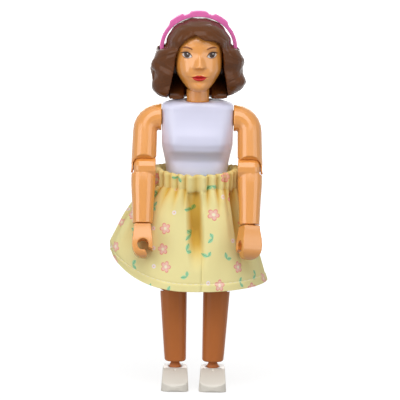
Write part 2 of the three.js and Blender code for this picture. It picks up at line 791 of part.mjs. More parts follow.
// Head: the local origin is on the neck axis at the jaw's lower face
function headStations() {
  const at = (share) => headHeight * share;
  return [
    evenStation(0, headHalfWidth * 0.38, faceFront - 1.1, 0.6, 2),
    evenStation(at(0.06), headHalfWidth * 0.54, faceFront - 0.35, 3, 2),
    evenStation(at(0.15), headHalfWidth * 0.73, faceFront - 0.15, 4.6, 2),
    evenStation(at(0.27), headHalfWidth * 0.91, faceFront, skullBack - 1, 2.1),
    evenStation(at(0.41), headHalfWidth * 0.98, faceFront, skullBack - 0.4, 2.1),
    evenStation(at(0.57), headHalfWidth, faceFront - 0.1, skullBack, 2.1),
    evenStation(at(0.73), headHalfWidth * 0.97, faceFront - 0.5, skullBack, 2.1),
    evenStation(at(0.86), headHalfWidth * 0.85, faceFront - 1.5, skullBack - 0.6, 2),
    evenStation(at(0.95), headHalfWidth * 0.6, faceFront - 3.3, skullBack - 2, 2),
    evenStation(headHeight, headHalfWidth * 0.2, faceFront - 6.4, skullBack - 5, 2),
  ];
}

function faceRelief(point) {
  if (point.y > -headHalfWidth * 0.45) return;
  const height = point.z / headHeight;
  const { x } = point;
  const noseTip = 0.41;
  const noseRise = height < noseTip ? bell(height - noseTip, 0.035) : bell(height - noseTip, 0.13);
  const nose = noseLength * noseRise * bell(x, 1.15);
  const socket = (s) => bell(x - s * eyeSpacing, 1.7) * bell(height - 0.57, 0.07);
  const cheek = (s) => bell(x - s * eyeSpacing * 1.1, 2) * bell(height - 0.4, 0.1);
  const lips = bell(x, 1.8) * bell(height - 0.225, 0.045);
  const chin = bell(x, 2) * bell(height - 0.07, 0.05);
  point.y -= nose + 0.3 * (cheek(-1) + cheek(1)) + 0.5 * lips + 0.3 * chin;
  point.y += 0.6 * (socket(-1) + socket(1));
}

function makeHead() {
  const skull = solid(loft(headStations(), 2, formFacets, faceRelief));
  const recess = rodAlongZ(neckPegRadius + clearance, 2 * (neckPegLength + clearance), limbFacets);
  return geometryOf(skull.subtract(solid(recess)));
}

// Hair: a thick moulded wig with waves, hollow for the head and open at the face and neck
function hairStations() {
  const top = headHeight + hairRise;
  const at = (z, wide, front, back, power) =>
    evenStation(z, hairHalfWidth * wide, hairFront * front, hairBack * back, power);
  return [
    at(-hairDrop, 0.6, 0, 0.7, 2.2),
    at(-hairDrop * 0.68, 0.87, 0.35, 0.88, 2.3),
    at(0, 0.96, 0.54, 0.98, 2.4),
    at(top * 0.16, 1, 0.62, 1, 2.4),
    at(top * 0.33, 0.97, 0.68, 0.98, 2.4),
    at(top * 0.46, 0.945, 0.75, 0.95, 2.3),
    at(top * 0.55, 0.89, 0.84, 0.93, 2.2),
    at(top * 0.58, 0.8, 0.88, 0.92, 2.2),
    at(top * 0.606, 0.7, 0.91, 0.91, 2.1),
    at(top * 0.7, 0.64, 1, 0.9, 2.1),
    at(top * 0.82, 0.54, 1, 0.84, 2),
    at(top * 0.93, 0.395, 0.74, 0.7, 2),
    at(top, 0.13, 0.22, 0.42, 2),
  ];
}

function hairRelief(point) {
  const top = headHeight + hairRise;
  const side = Math.abs(point.x) / hairHalfWidth;
  const { smoothstep } = THREE.MathUtils;
  const fade = smoothstep(side, 0.35, 0.9) * smoothstep(top * 0.75 - point.z, 0, 4);
  const wave = Math.sin((point.z * TURN) / 5.6 + point.y * 0.35);
  point.x += Math.sign(point.x) * hairWave * wave * fade;
}

function faceOpening() {
  const w = headHalfWidth;
  const z = (share) => headHeight * share;
  const outline = new THREE.Shape();
  outline.moveTo(-w * 1.25, -hairDrop - 2);
  outline.bezierCurveTo(-w * 1.2, z(0.12), -w * 0.99, z(0.25), -w * 0.99, z(0.45));
  outline.bezierCurveTo(-w * 0.98, z(0.66), -w * 0.62, z(0.83), -w * 0.18, z(0.9));
  outline.bezierCurveTo(0, z(0.87), w * 0.1, z(0.8), w * 0.3, z(0.8));
  outline.bezierCurveTo(w * 0.82, z(0.8), w * 0.99, z(0.7), w * 1.01, z(0.45));
  outline.bezierCurveTo(w * 1.01, z(0.25), w * 1.2, z(0.12), w * 1.25, -hairDrop - 2);
  return outline;
}

function makeHair() {
  const outside = solid(loft(hairStations(), 2, formFacets, hairRelief));
  const inside = solid(loft(grown(headStations(), clearance), 1, limbFacets));
  const crown = solid(loft(
    grown(headStations().slice(-3), clearance).map((s) => ({ ...s, z: s.z + clearance })),
    1,
    limbFacets,
  ));
  const reach = 20;
  const openingY = hairOpeningDepth - reach / 2;
  const opening = solid(extrudedAlong(faceOpening(), reach, "y", 5).translate(0, openingY, 0));
  const neckHole = rodAlongZ(neckRadius + 1.2, 2 * hairDrop + 6, limbFacets);
  const napeFront = block(-neckRadius - 1.2, neckRadius + 1.2, -reach, 0, -hairDrop - 1, 3);
  let wig = outside
    .subtract(inside)
    .subtract(crown)
    .subtract(opening)
    .subtract(solid(neckHole))
    .subtract(solid(napeFront));
  const plugX = headbandInnerHalfWidth + headbandThickness / 2;
  const halfWide = headbandThickness / 2 + clearance;
  const halfDeep = headbandDepth / 2 + clearance;
  const floor = headbandSeat - headbandPlug - clearance;
  for (const s of [-1, 1]) {
    const socket = block(
      s * plugX - halfWide, s * plugX + halfWide,
      headbandSetBack - halfDeep, headbandSetBack + halfDeep,
      floor, headbandSeat + headbandInnerHeight,
    );
    wig = wig.subtract(solid(socket));
  }
  return geometryOf(wig);
}

// Headband: an arch with three raised steps on its rim, and ends that plug into the hair
function makeHeadband() {
  const steps = 60;
  const stepCentres = [0.5, 0.305, 0.695];
  const raised = (share) => {
    const near = Math.min(...stepCentres.map((c) => Math.abs(share - c)));
    return headbandStep * (1 - THREE.MathUtils.smoothstep(near, 0.062, 0.078));
  };
  const inner = [];
  const outer = [];
  for (let i = 0; i <= steps; i++) {
    const share = i / steps;
    const angle = share * Math.PI;
    const [c, s] = [Math.cos(angle), Math.sin(angle)];
    const wall = headbandThickness + raised(share);
    inner.push(new THREE.Vector2(headbandInnerHalfWidth * c, headbandInnerHeight * s));
    outer.push(new THREE.Vector2((headbandInnerHalfWidth + wall) * c, (headbandInnerHeight + wall) * s));
  }
  const endX = headbandInnerHalfWidth;
  const rim = endX + headbandThickness;
  const shape = new THREE.Shape([
    new THREE.Vector2(rim, -headbandPlug),
    ...outer,
    new THREE.Vector2(-rim, -headbandPlug),
    new THREE.Vector2(-endX, -headbandPlug),
    ...inner.reverse(),
    new THREE.Vector2(endX, -headbandPlug),
  ]);
  const band = extrudedAlong(shape, headbandDepth, "y", 1);
  return geometryOf(solid(band.translate(0, headbandSetBack, headbandSeat)));
}

// Skirt: a ruffled casing with elastic in it, and a flared panel that hangs from the casing
function waistPoint(angle, outward) {
  const c = bulge(Math.cos(angle), skirtWaistPower);
  const s = bulge(Math.sin(angle), skirtWaistPower);
  const depth = s < 0 ? skirtWaistFront : skirtWaistBack;
  return new THREE.Vector2((skirtWaistHalfWidth + outward) * c, (depth + outward) * s);
}

function hemPoint(angle) {
  const c = bulge(Math.cos(angle), skirtHemPower);
  const s = bulge(Math.sin(angle), skirtHemPower);
  const width = c < 0 ? skirtHemRight : skirtHemLeft;
  const depth = s < 0 ? skirtHemFront : skirtHemBack;
  return new THREE.Vector2(width * c, depth * s);
}

function hemLift(angle) {
  const c = Math.cos(angle);
  const s = Math.sin(angle);
  const side = c < 0 ? skirtLiftRight : skirtLiftLeft;
  return side * Math.abs(c) ** skirtLiftPower + (s > 0 ? skirtLiftBack * s ** 2 : 0);
}

// Folds sink into the panel below the casing. The front ones run out before the hem.
function foldDepth(angle, drop) {
  const ease = THREE.MathUtils.smoothstep(drop, 0, 0.3);
  let depth = 0;
  for (const fold of skirtFolds) {
    const off = Math.atan2(Math.sin(angle - toRad(fold.angle)), Math.cos(angle - toRad(fold.angle)));
    const carry = fold.angle < 0 ? 0 : backFoldCarry;
    const fade = mix(1, carry, THREE.MathUtils.smoothstep(drop, 0.45, 1));
    depth += fold.depth * ease * fade * bell(off, toRad(fold.width));
  }
  return depth;
}

function skirtPoint(angle, drop, inward) {
  const top = waistPoint(angle, waistbandThickness / 2 - inward);
  const hem = hemPoint(angle);
  const swing = THREE.MathUtils.smoothstep(-Math.cos(angle), 0.2, 1);
  const flare = drop ** mix(skirtFlareCurve, skirtSwingCurve, swing);
  const x = mix(top.x, hem.x, flare);
  const y = mix(top.y, hem.y, flare);
  const outward = new THREE.Vector2(Math.cos(angle), Math.sin(angle));
  const shift = foldDepth(angle, drop) + inward * flare;
  const z = -drop * (skirtLength - hemLift(angle));
  return new THREE.Vector3(x - outward.x * shift, y - outward.y * shift, z);
}

function makeSkirt() {
  const around = 72;
  const rows = 7;
  const sections = [];
  for (let k = 0; k < around; k++) {
    const angle = (TURN * k) / around;
    const section = [];
    for (let j = 0; j <= rows; j++) section.push(skirtPoint(angle, j / rows, 0));
    for (let j = rows; j >= 0; j--) section.push(skirtPoint(angle, j / rows, clothWall));
    sections.push(section);
  }
  return geometryOf(solid(hoop(sections)));
}

function makeWaistband() {
  const around = 72;
  const half = waistbandThickness / 2;
  const wall = clothWall;
  const profile = [
    [half, 0], [half, waistbandHeight * 0.6], [half * 0.9, waistbandHeight],
    [-half * 0.9, waistbandHeight], [-half, waistbandHeight * 0.6], [-half, 0],
    [-half + wall, 0], [-half + wall, waistbandHeight - wall],
    [half - wall, waistbandHeight - wall], [half - wall, 0],
  ];
  const sections = [];
  for (let k = 0; k < around; k++) {
    const angle = (TURN * k) / around;
    const gather = gatherDepth * Math.cos(gatherCount * angle);
    sections.push(profile.map(([out, up]) => {
      const p = waistPoint(angle, out + gather * (up / waistbandHeight) ** 2);
      return new THREE.Vector3(p.x, p.y, up);
    }).reverse());
  }
  return geometryOf(solid(hoop(sections)));
}

function makeElastic() {
  const around = 48;
  const half = elasticThickness / 2;
  const low = (waistbandHeight - elasticHeight) / 2 - 0.2;
  const sections = [];
  for (let k = 0; k < around; k++) {
    const angle = (TURN * k) / around;
    const corners = [[half, low], [-half, low], [-half, low + elasticHeight], [half, low + elasticHeight]];
    sections.push(corners.map(([out, up]) => {
      const p = waistPoint(angle, out);
      return new THREE.Vector3(p.x, p.y, up);
    }));
  }
  return geometryOf(solid(hoop(sections)));
}

// Materials
const plastic = (color, roughness) => new THREE.MeshStandardMaterial({ color, roughness, metalness: 0 });
const bodySkin = plastic(0xe8a060, 0.38);
const legSkin = plastic(0xb4693a, 0.42);
const topPlastic = plastic(0xd9d8ee, 0.35);
const hairPlastic = plastic(0x4a2d1e, 0.32);
const bandPlastic = plastic(0xe45cb4, 0.4);
const shoePlastic = plastic(0xe6e2da, 0.4);
const pinPlastic = plastic(0xcfc8bc, 0.5);
const cloth = plastic(0xecd982, 0.9);
const elastic = plastic(0xf2efe6, 0.85);

function piece(name, geometry, material) {
  const mesh = new THREE.Mesh(geometry, material);
  mesh.name = name;
  return mesh;
}

function jointAt(x, y, z, ...children) {
  const joint = new THREE.Group();
  joint.position.set(x, y, z);
  joint.add(...children);
  return joint;
}

// Assembly
const doll = new THREE.Group();
const torso = makeTorso();
const headGroup = jointAt(0, 0, jawHeight,
  piece("head", makeHead(), bodySkin),
  piece("hair", makeHair(), hairPlastic),
  piece("headband", makeHeadband(), bandPlastic));
headGroup.rotation.z = toRad(headTurn);
doll.add(
  jointAt(0, 0, waistHeight,
    piece("torso_front", torso.front, topPlastic),
    piece("torso_back", torso.back, topPlastic)),
  jointAt(0, 0, waistHeight + torsoHeight, piece("neck_post", makeNeckPost(), bodySkin)),
  headGroup,
  jointAt(0, 0, hipHeight,
    piece("pelvis", makePelvis(), topPlastic),
    piece("hip_axle", makeHipAxle(), pinPlastic)),
  jointAt(0, 0, waistHeight - skirtTopDrop,
    piece("waistband", makeWaistband(), cloth),
    piece("waist_elastic", makeElastic(), elastic)),
  jointAt(0, 0, waistHeight - skirtTopDrop - clearance, piece("skirt", makeSkirt(), cloth)),
);

const arm = {
  upper: makeUpperArm(), pin: makeElbowPin(), forearm: makeForearm(), hand: makeHand(),
};
const leg = {
  thigh: makeThigh(), pin: makeKneePin(), shin: makeShin(), post: makeAnklePost(), shoe: makeShoe(),
};

for (const [name, side] of [["right", -1], ["left", 1]]) {
  const sided = (geometry) => (side < 0 ? mirrored(geometry) : geometry);

  const grip = side < 0 ? arm.hand : mirrored(arm.hand);
  const hand = piece(name + "_hand", grip, bodySkin);
  hand.rotation.z = side < 0 ? 0 : toRad(leftHandTurn);
  const elbow = jointAt(side * armOffset, 0, -upperArmLength,
    piece(name + "_elbow_pin", sided(arm.pin), pinPlastic),
    piece(name + "_forearm", sided(arm.forearm), bodySkin),
    jointAt(0, 0, -forearmLength, hand));
  const shoulder = jointAt(side * shoulderHalfWidth, 0, waistHeight + waistToShoulder,
    piece(name + "_upper_arm", sided(arm.upper), bodySkin),
    elbow);
  shoulder.rotation.x = -toRad(armRestAngle);
  doll.add(shoulder);

  const kneeX = side * (legInner + kneeWidth / 2);
  doll.add(
    jointAt(0, 0, hipHeight, piece(name + "_thigh", sided(leg.thigh), legSkin)),
    jointAt(kneeX, 0, kneeHeight, piece(name + "_knee_pin", leg.pin, pinPlastic)),
    jointAt(0, 0, kneeHeight, piece(name + "_shin", sided(leg.shin), legSkin)),
    jointAt(side * ankleX, 0, 0,
      piece(name + "_ankle_post", leg.post, legSkin),
      piece(name + "_shoe", sided(leg.shoe), shoePlastic)),
  );
}

// The part's origin is on the floor, under the middle of the doll's box.
const box = new THREE.Box3().setFromObject(doll, true);
doll.position.set(-(box.min.x + box.max.x) / 2, -(box.min.y + box.max.y) / 2, -box.min.z);
const part = new THREE.Group();
part.add(doll);

export default part;
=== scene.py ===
import json
import math

import bmesh
import bpy
import numpy as np
from bpy.props import FloatProperty, IntProperty, PointerProperty, StringProperty
from mathutils import Matrix, Vector, noise
from mathutils.bvhtree import BVHTree


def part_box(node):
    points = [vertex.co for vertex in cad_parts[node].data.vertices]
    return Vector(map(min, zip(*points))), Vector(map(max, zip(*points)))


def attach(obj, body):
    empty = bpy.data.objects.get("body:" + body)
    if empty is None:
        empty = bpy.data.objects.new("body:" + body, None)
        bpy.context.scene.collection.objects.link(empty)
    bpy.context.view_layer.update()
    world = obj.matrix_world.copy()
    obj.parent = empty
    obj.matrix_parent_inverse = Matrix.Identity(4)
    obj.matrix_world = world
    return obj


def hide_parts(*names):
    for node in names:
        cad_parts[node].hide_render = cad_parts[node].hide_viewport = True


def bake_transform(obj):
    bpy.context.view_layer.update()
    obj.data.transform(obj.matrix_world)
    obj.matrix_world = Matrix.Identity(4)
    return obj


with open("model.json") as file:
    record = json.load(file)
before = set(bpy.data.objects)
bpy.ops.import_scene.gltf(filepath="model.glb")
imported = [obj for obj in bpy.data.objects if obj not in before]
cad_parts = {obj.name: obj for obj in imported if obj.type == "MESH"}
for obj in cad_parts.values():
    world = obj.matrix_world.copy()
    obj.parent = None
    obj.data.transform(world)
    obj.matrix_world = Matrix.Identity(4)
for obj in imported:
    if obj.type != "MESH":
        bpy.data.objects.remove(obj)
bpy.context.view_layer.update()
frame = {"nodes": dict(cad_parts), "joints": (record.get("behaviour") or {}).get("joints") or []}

bl_info = {
    "name": "Miniature Doll",
    "version": (1, 0, 0),
    "blender": (4, 5, 0),
    "location": "View3D > Sidebar > Doll",
    "description": "Finishes a jointed miniature doll: mouldings, painted face, hair and a printed skirt",
    "category": "Add Mesh",
}

MM = 0.001
JOINTS = {joint["name"]: joint for joint in frame["joints"]}
JAW = Vector(JOINTS["neck_turn"]["pos_m"])
SIDES = (("right", -1), ("left", 1))
# At rest the head looks a little to the doll's left
HEAD_TURN = Matrix.Rotation(math.radians(2.5), 3, "Z")


# Sizes and colours that a user would change

def length(name, description, millimetres):
    return FloatProperty(name=name, description=description, default=millimetres * MM,
                         subtype="DISTANCE", unit="LENGTH", precision=5)


def colour(name, description, hex_value):
    return StringProperty(name=name, description=description, default=hex_value)


class DollColours(bpy.types.PropertyGroup):
    """Colours of the doll's plastics, paints and cloth, as sRGB hex values"""
    skin: colour("Skin", "Arms, hands, neck and head", "EB9D49")
    leg: colour("Legs", "Thighs, shins and ankle posts", "BC6C32")
    top: colour("Top", "Torso and hips", "DCDCF2")
    hair: colour("Hair", "Moulded wig", "633716")
    band: colour("Headband", "Moulded headband", "E86EB4")
    shoe: colour("Shoes", "Moulded shoes", "E6E0D5")
    pin: colour("Pins", "Axle and hinge pins", "CFC8BC")
    elastic: colour("Elastic", "Woven tape in the waistband", "F2EFE6")
    cloth: colour("Cloth", "Ground of the printed cotton", "F5EBAC")
    petal: colour("Petals", "Blossoms of the print", "F0908A")
    leaf: colour("Leaves", "Leaves of the print", "A2DCB0")
    vein: colour("Leaf veins", "Dark line in each leaf", "4A9C6C")
    bud: colour("Buds", "Small pale blossoms of the print", "F6EAF0")
    thread: colour("Thread", "Hem stitches", "FFF8E4")
    lip: colour("Lips", "Paint of the lips", "C4201C")
    lash: colour("Lashes", "Paint of the upper lash line", "2A160E")
    brow: colour("Brows", "Paint of the eyebrows", "9C5A2A")
    iris: colour("Iris", "Paint of the iris", "4E2F1A")
    white: colour("Eye white", "Paint of the eye white", "EDE4DE")


class DollSizes(bpy.types.PropertyGroup):
    """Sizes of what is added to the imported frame"""
    mould_step: length("Mould step", "Grid that rounds the edges of the mouldings", 0.16)
    strand_depth: length("Strand depth", "Depth of the grooves in the hair", 0.42)
    paint_lift: length("Paint lift", "Thickness of one coat of face paint", 0.03)
    cloth_wall: length("Cloth", "Thickness of the skirt's cotton", 0.28)
    pleat_depth: length("Pleat depth", "Depth of the gathers at the waistband", 0.85)
    print_spacing: length("Print spacing", "Distance between motifs of the print", 5.6)
    thread_spacing: length("Thread spacing", "Distance between threads of the weave", 0.36)
    stitch: length("Stitch", "Length of one hem stitch with its gap", 1.5)
    hem: length("Hem", "Distance from the stitches to the skirt's edge", 2.0)
    camera_distance: length("Camera distance", "From the camera to the doll", 2500)


class DollSettings(bpy.types.PropertyGroup):
    """Everything that the doll's operators read"""
    colours: PointerProperty(type=DollColours)
    sizes: PointerProperty(type=DollSizes)
    gathers: IntProperty(name="Gathers", description="Gathers round the waistband", default=30)


def colours():
    return bpy.context.scene.doll.colours


def size_mm(name):
    return getattr(bpy.context.scene.doll.sizes, name) / MM


# Meshes: points are in millimetres about the doll's upright centre line, on the floor

def in_frame(points):
    return [(JAW.x + x * MM, JAW.y + y * MM, z * MM) for x, y, z in points]


def shaped(name, points, faces):
    mesh = bpy.data.meshes.new(name)
    mesh.from_pydata(in_frame(points), [], faces)
    mesh.polygons.foreach_set("use_smooth", [True] * len(mesh.polygons))
    mesh.update()
    return mesh


def local(point):
    return Vector(((point[0] - JAW.x) / MM, (point[1] - JAW.y) / MM, point[2] / MM))


def linked(name, mesh):
    obj = bpy.data.objects.new(name, mesh)
    bpy.context.scene.collection.objects.link(obj)
    return obj


def coated(obj, finish):
    obj.data.materials.clear()
    obj.data.materials.append(finish)


def piece(obj, finish, nodes=(), body=None):
    coated(obj, finish)
    if nodes:
        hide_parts(*nodes)
    if body:
        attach(obj, body)


def settled(obj):
    """The evaluated mesh takes the place of the object's modifiers."""
    graph = bpy.context.evaluated_depsgraph_get()
    mesh = bpy.data.meshes.new_from_object(obj.evaluated_get(graph))
    old = obj.data
    obj.modifiers.clear()
    obj.data = mesh
    bpy.data.meshes.remove(old)
    return obj


def walled(obj, thickness):
    """Gives a sheet its thickness, inwards from its face."""
    wall = obj.modifiers.new("Wall", "SOLIDIFY")
    wall.thickness = thickness
    wall.offset = -1
    return settled(obj)


def moulded(node, step=None, rounds=3):
    """A copy of a CAD node whose edges get the small radii that a mould gives."""
    mesh = frame["nodes"][node].data.copy()
    mesh.transform(Matrix.Scale(1 / MM, 4))
    welded = bmesh.new()
    welded.from_mesh(mesh)
    bmesh.ops.remove_doubles(welded, verts=welded.verts, dist=1e-3)
    welded.to_mesh(mesh)
    welded.free()
    obj = linked(node + "_moulding", mesh)
    remesh = obj.modifiers.new("Mould", "REMESH")
    remesh.mode = "VOXEL"
    remesh.voxel_size = step or size_mm("mould_step")
    remesh.use_smooth_shade = True
    smooth = obj.modifiers.new("Radii", "SMOOTH")
    smooth.factor = 0.5
    smooth.iterations = rounds
    settled(obj)
    obj.data.transform(Matrix.Scale(MM, 4))
    return obj


def eased(obj, low, high, rounds):
    """Evens out the facets of a moulding inside a box in millimetres, away from its rims."""
    work = bmesh.new()
    work.from_mesh(obj.data)
    inside = [vert for vert in work.verts
              if all(a < c < b for a, c, b in zip(low, local(vert.co), high))]
    for _ in range(rounds):
        bmesh.ops.smooth_vert(work, verts=inside, factor=0.5, use_axis_x=True, use_axis_y=True,
                              use_axis_z=True)
    work.to_mesh(obj.data)
    work.free()


def grid(rows, columns, closed):
    """Quads over rows of points, each row with the same number of points."""
    faces = []
    spans = columns if closed else columns - 1
    for k in range(rows - 1):
        for i in range(spans):
            j = (i + 1) % columns
            faces.append((k * columns + i, k * columns + j, (k + 1) * columns + j, (k + 1) * columns + i))
    return faces


def smoothstep(low, high, value):
    share = min(1.0, max(0.0, (value - low) / (high - low)))
    return share * share * (3 - 2 * share)


def bell(offset, width):
    return math.exp(-((offset / width) ** 2))


def bulge(value, power):
    return math.copysign(abs(value) ** (2 / power), value)


def mix(a, b, share):
    return a + (b - a) * share


# Materials

def linear(hex_value):
    """An sRGB hex value as linear red, green, blue and alpha."""
    channels = [int(hex_value[i:i + 2], 16) / 255 for i in (0, 2, 4)]
    return (*(c / 12.92 if c <= 0.04045 else ((c + 0.055) / 1.055) ** 2.4 for c in channels), 1.0)


def shade(base, share):
    """A linear colour made darker or lighter."""
    return (*(min(1.0, c * share) for c in base[:3]), 1.0)


def feed(tree, node, inputs):
    """Sets or links inputs of a node."""
    for name, value in inputs.items():
        if isinstance(value, bpy.types.NodeSocket):
            tree.links.new(value, node.inputs[name])
        else:
            node.inputs[name].default_value = value


def add(tree, kind, inputs=None, **settings):
    """A node with its settings, and its inputs set or linked."""
    node = tree.nodes.new(kind)
    for name, value in settings.items():
        setattr(node, name, value)
    feed(tree, node, inputs or {})
    return node


def shader(name):
    """An empty material with its Principled shader."""
    material = bpy.data.materials.new(name)
    material.use_nodes = True
    return material, material.node_tree, material.node_tree.nodes["Principled BSDF"]


def moulded_plastic(name, hex_value, roughness, mottle=0.025, coat=0.0, specular=0.5, hollow_shade=None):
    """ABS from a polished mould: even colour with a faint flow mottle, a soft gloss that varies a little,
    and the slight waviness that breaks up its highlights. Painted shade darkens its hollows towards a given
    colour."""
    material, tree, principled = shader(name)
    place = add(tree, "ShaderNodeTexCoord").outputs["Object"]
    # Widths in millimetres and detail of the mottle, the gloss's grain and the waves
    flow, grain, wave = (add(tree, "ShaderNodeTexNoise", {"Vector": place, "Scale": 1 / (width * MM),
                                                          "Detail": detail})
                         for width, detail in ((6, 3.0), (0.5, 2.0), (2.6, 1.0)))
    base = linear(hex_value)
    tone = add(tree, "ShaderNodeMix", {"Factor": flow.outputs["Fac"], "A": shade(base, 1 - mottle),
                                       "B": shade(base, 1 + mottle)}, data_type="RGBA")
    gloss = add(tree, "ShaderNodeMapRange", {"Value": grain.outputs["Fac"], "To Min": roughness * 0.92,
                                             "To Max": roughness * 1.1})
    bump = add(tree, "ShaderNodeBump", {"Height": wave.outputs["Fac"], "Strength": 0.03,
                                        "Distance": 0.05 * MM})
    # Painted shade: ambient occlusion darkens the surface towards the given colour where it is hemmed in by
    # itself
    if hollow_shade:
        open_share = add(tree, "ShaderNodeAmbientOcclusion", {"Distance": 7 * MM},
                         only_local=True, samples=8)
        depth = add(tree, "ShaderNodeMapRange", {"Value": open_share.outputs["AO"], "From Min": 0.3,
                                                 "From Max": 0.8})
        tone = add(tree, "ShaderNodeMix", {"Factor": depth.outputs["Result"], "A": linear(hollow_shade),
                                           "B": tone.outputs["Result"]}, data_type="RGBA")
    feed(tree, principled, {"Base Color": tone.outputs["Result"], "Roughness": gloss.outputs["Result"],
                            "Normal": bump.outputs["Normal"], "IOR": 1.54, "Specular IOR Level": specular,
                            "Coat Weight": coat, "Coat Roughness": 0.2})
    return material


# Torso, hips and neck

# Where the torso's front is evened out: half width, and distance from its lower, back and upper rims
EASED_HALF_WIDTH, EASED_LOW, EASED_BACK, EASED_TOP = 8.6, 1.2, 1.2, 2.5
EASED_ROUNDS = 30
# Heights and depths at which the bust stands out and the front draws in below it
BUST_EDGE_Z, BUST_EDGE_OUT = 66.6, 0.5
UNDER_BUST_Z, UNDER_BUST_IN = 63.6, 0.4
BUST_SOFTNESS = 1.1


class DOLL_OT_torso(bpy.types.Operator):
    """Moulds the two torso shells, the hips and the neck"""
    bl_idname = "doll.torso"
    bl_label = "Torso"

    def execute(self, context):
        top = moulded_plastic("lavender_abs", colours().top, 0.32)
        skin = moulded_plastic("skin_abs", colours().skin, 0.2, coat=0.2, specular=0.6)
        for node in ("torso_front", "torso_back", "pelvis"):
            piece(moulded(node, step=0.22), top, [node], "body")
        front = bpy.data.objects["torso_front_moulding"]
        low, high = (local(corner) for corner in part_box("torso_front"))
        eased(front, (-EASED_HALF_WIDTH, -math.inf, low.z + EASED_LOW),
              (EASED_HALF_WIDTH, high.y - EASED_BACK, high.z - EASED_TOP), EASED_ROUNDS)
        # Under the bust the front draws in sharply
        facing = [-vertex.normal.y for vertex in front.data.vertices]
        for vertex, forward in zip(front.data.vertices, facing):
            x, _, z = local(vertex.co)
            ledge = smoothstep(0.2, 0.5, forward) * (1 - smoothstep(5.8, 8.4, abs(x)))
            inward = UNDER_BUST_IN * bell(z - UNDER_BUST_Z, BUST_SOFTNESS)
            inward -= BUST_EDGE_OUT * bell(z - BUST_EDGE_Z, BUST_SOFTNESS)
            vertex.co.y += MM * ledge * inward
        piece(moulded("neck_post", step=0.2), skin, ["neck_post"], "body")
        pin = moulded_plastic("pin_abs", colours().pin, 0.5)
        for name in ("hip_axle", "left_elbow_pin", "right_elbow_pin", "left_knee_pin", "right_knee_pin"):
            coated(frame["nodes"][name], pin)
        return {"FINISHED"}


# Arms, legs and shoes

def mould_sides(bodies, finish):
    """Moulds a node on each side for every part, on the body that is named for it."""
    for side, _ in SIDES:
        for part, body in bodies.items():
            node = f"{side}_{part}"
            piece(moulded(node), finish, [node], f"{side} {body}")


class DOLL_OT_arms(bpy.types.Operator):
    """Moulds the upper arms, forearms and gripping hands"""
    bl_idname = "doll.arms"
    bl_label = "Arms"

    def execute(self, context):
        bodies = {"upper_arm": "upper arm", "forearm": "forearm", "hand": "hand"}
        mould_sides(bodies, bpy.data.materials["skin_abs"])
        return {"FINISHED"}


class DOLL_OT_legs(bpy.types.Operator):
    """Moulds the thighs, shins and ankle posts"""
    bl_idname = "doll.legs"
    bl_label = "Legs"

    def execute(self, context):
        finish = moulded_plastic("leg_abs", colours().leg, 0.42, specular=0.3)
        mould_sides({"thigh": "thigh", "shin": "shin", "ankle_post": "shin"}, finish)
        return {"FINISHED"}


class DOLL_OT_shoes(bpy.types.Operator):
    """Moulds the shoes"""
    bl_idname = "doll.shoes"
    bl_label = "Shoes"

    def execute(self, context):
        mould_sides({"shoe": "shoe"}, moulded_plastic("shoe_abs", colours().shoe, 0.36))
        return {"FINISHED"}


# Head

HEAD_HEIGHT = 17.8
HEAD_HALF_WIDTH = 6.65
FACE_FRONT = 7.9
SKULL_BACK = 6.4
EYE_X = 3.38
EYE_Z = 10.12
LIP_Z = 4.11
NOSE_Z = 7.2
# Height as a share of the head, half width as a share of its own, then front and back limits and power
HEAD_STATIONS = (
    (0.0, 0.38, FACE_FRONT - 1.1, 0.6, 2.0),
    (0.06, 0.54, FACE_FRONT - 0.35, 3.0, 2.0),
    (0.15, 0.73, FACE_FRONT - 0.15, 4.6, 2.0),
    (0.27, 0.91, FACE_FRONT, SKULL_BACK - 1.0, 2.1),
    (0.41, 0.98, FACE_FRONT, SKULL_BACK - 0.4, 2.1),
    (0.57, 1.0, FACE_FRONT - 0.1, SKULL_BACK, 2.1),
    (0.73, 0.97, FACE_FRONT - 0.5, SKULL_BACK, 2.1),
    (0.86, 0.85, FACE_FRONT - 1.5, SKULL_BACK - 0.6, 2.0),
    (0.95, 0.6, FACE_FRONT - 3.3, SKULL_BACK - 2.0, 2.0),
    (1.0, 0.2, FACE_FRONT - 6.4, SKULL_BACK - 5.0, 2.0),
)


def curved(samples, share):
    """A smooth curve through rows of values whose first entry is the place along it."""
    rows = np.array(samples, float)
    i = int(np.clip(np.searchsorted(rows[:, 0], share) - 1, 0, len(rows) - 2))
    t0, t1 = rows[i, 0], rows[i + 1, 0]
    before = rows[max(i - 1, 0)]
    after = rows[min(i + 2, len(rows) - 1)]
    p = (share - t0) / (t1 - t0)
    span = t1 - t0
    slope0 = (rows[i + 1] - before) / (t1 - before[0]) * span
    slope1 = (after - rows[i]) / (after[0] - t0) * span
    return ((2 * p ** 3 - 3 * p ** 2 + 1) * rows[i] + (p ** 3 - 2 * p ** 2 + p) * slope0
            + (3 * p ** 2 - 2 * p ** 3) * rows[i + 1] + (p ** 3 - p ** 2) * slope1)[1:]


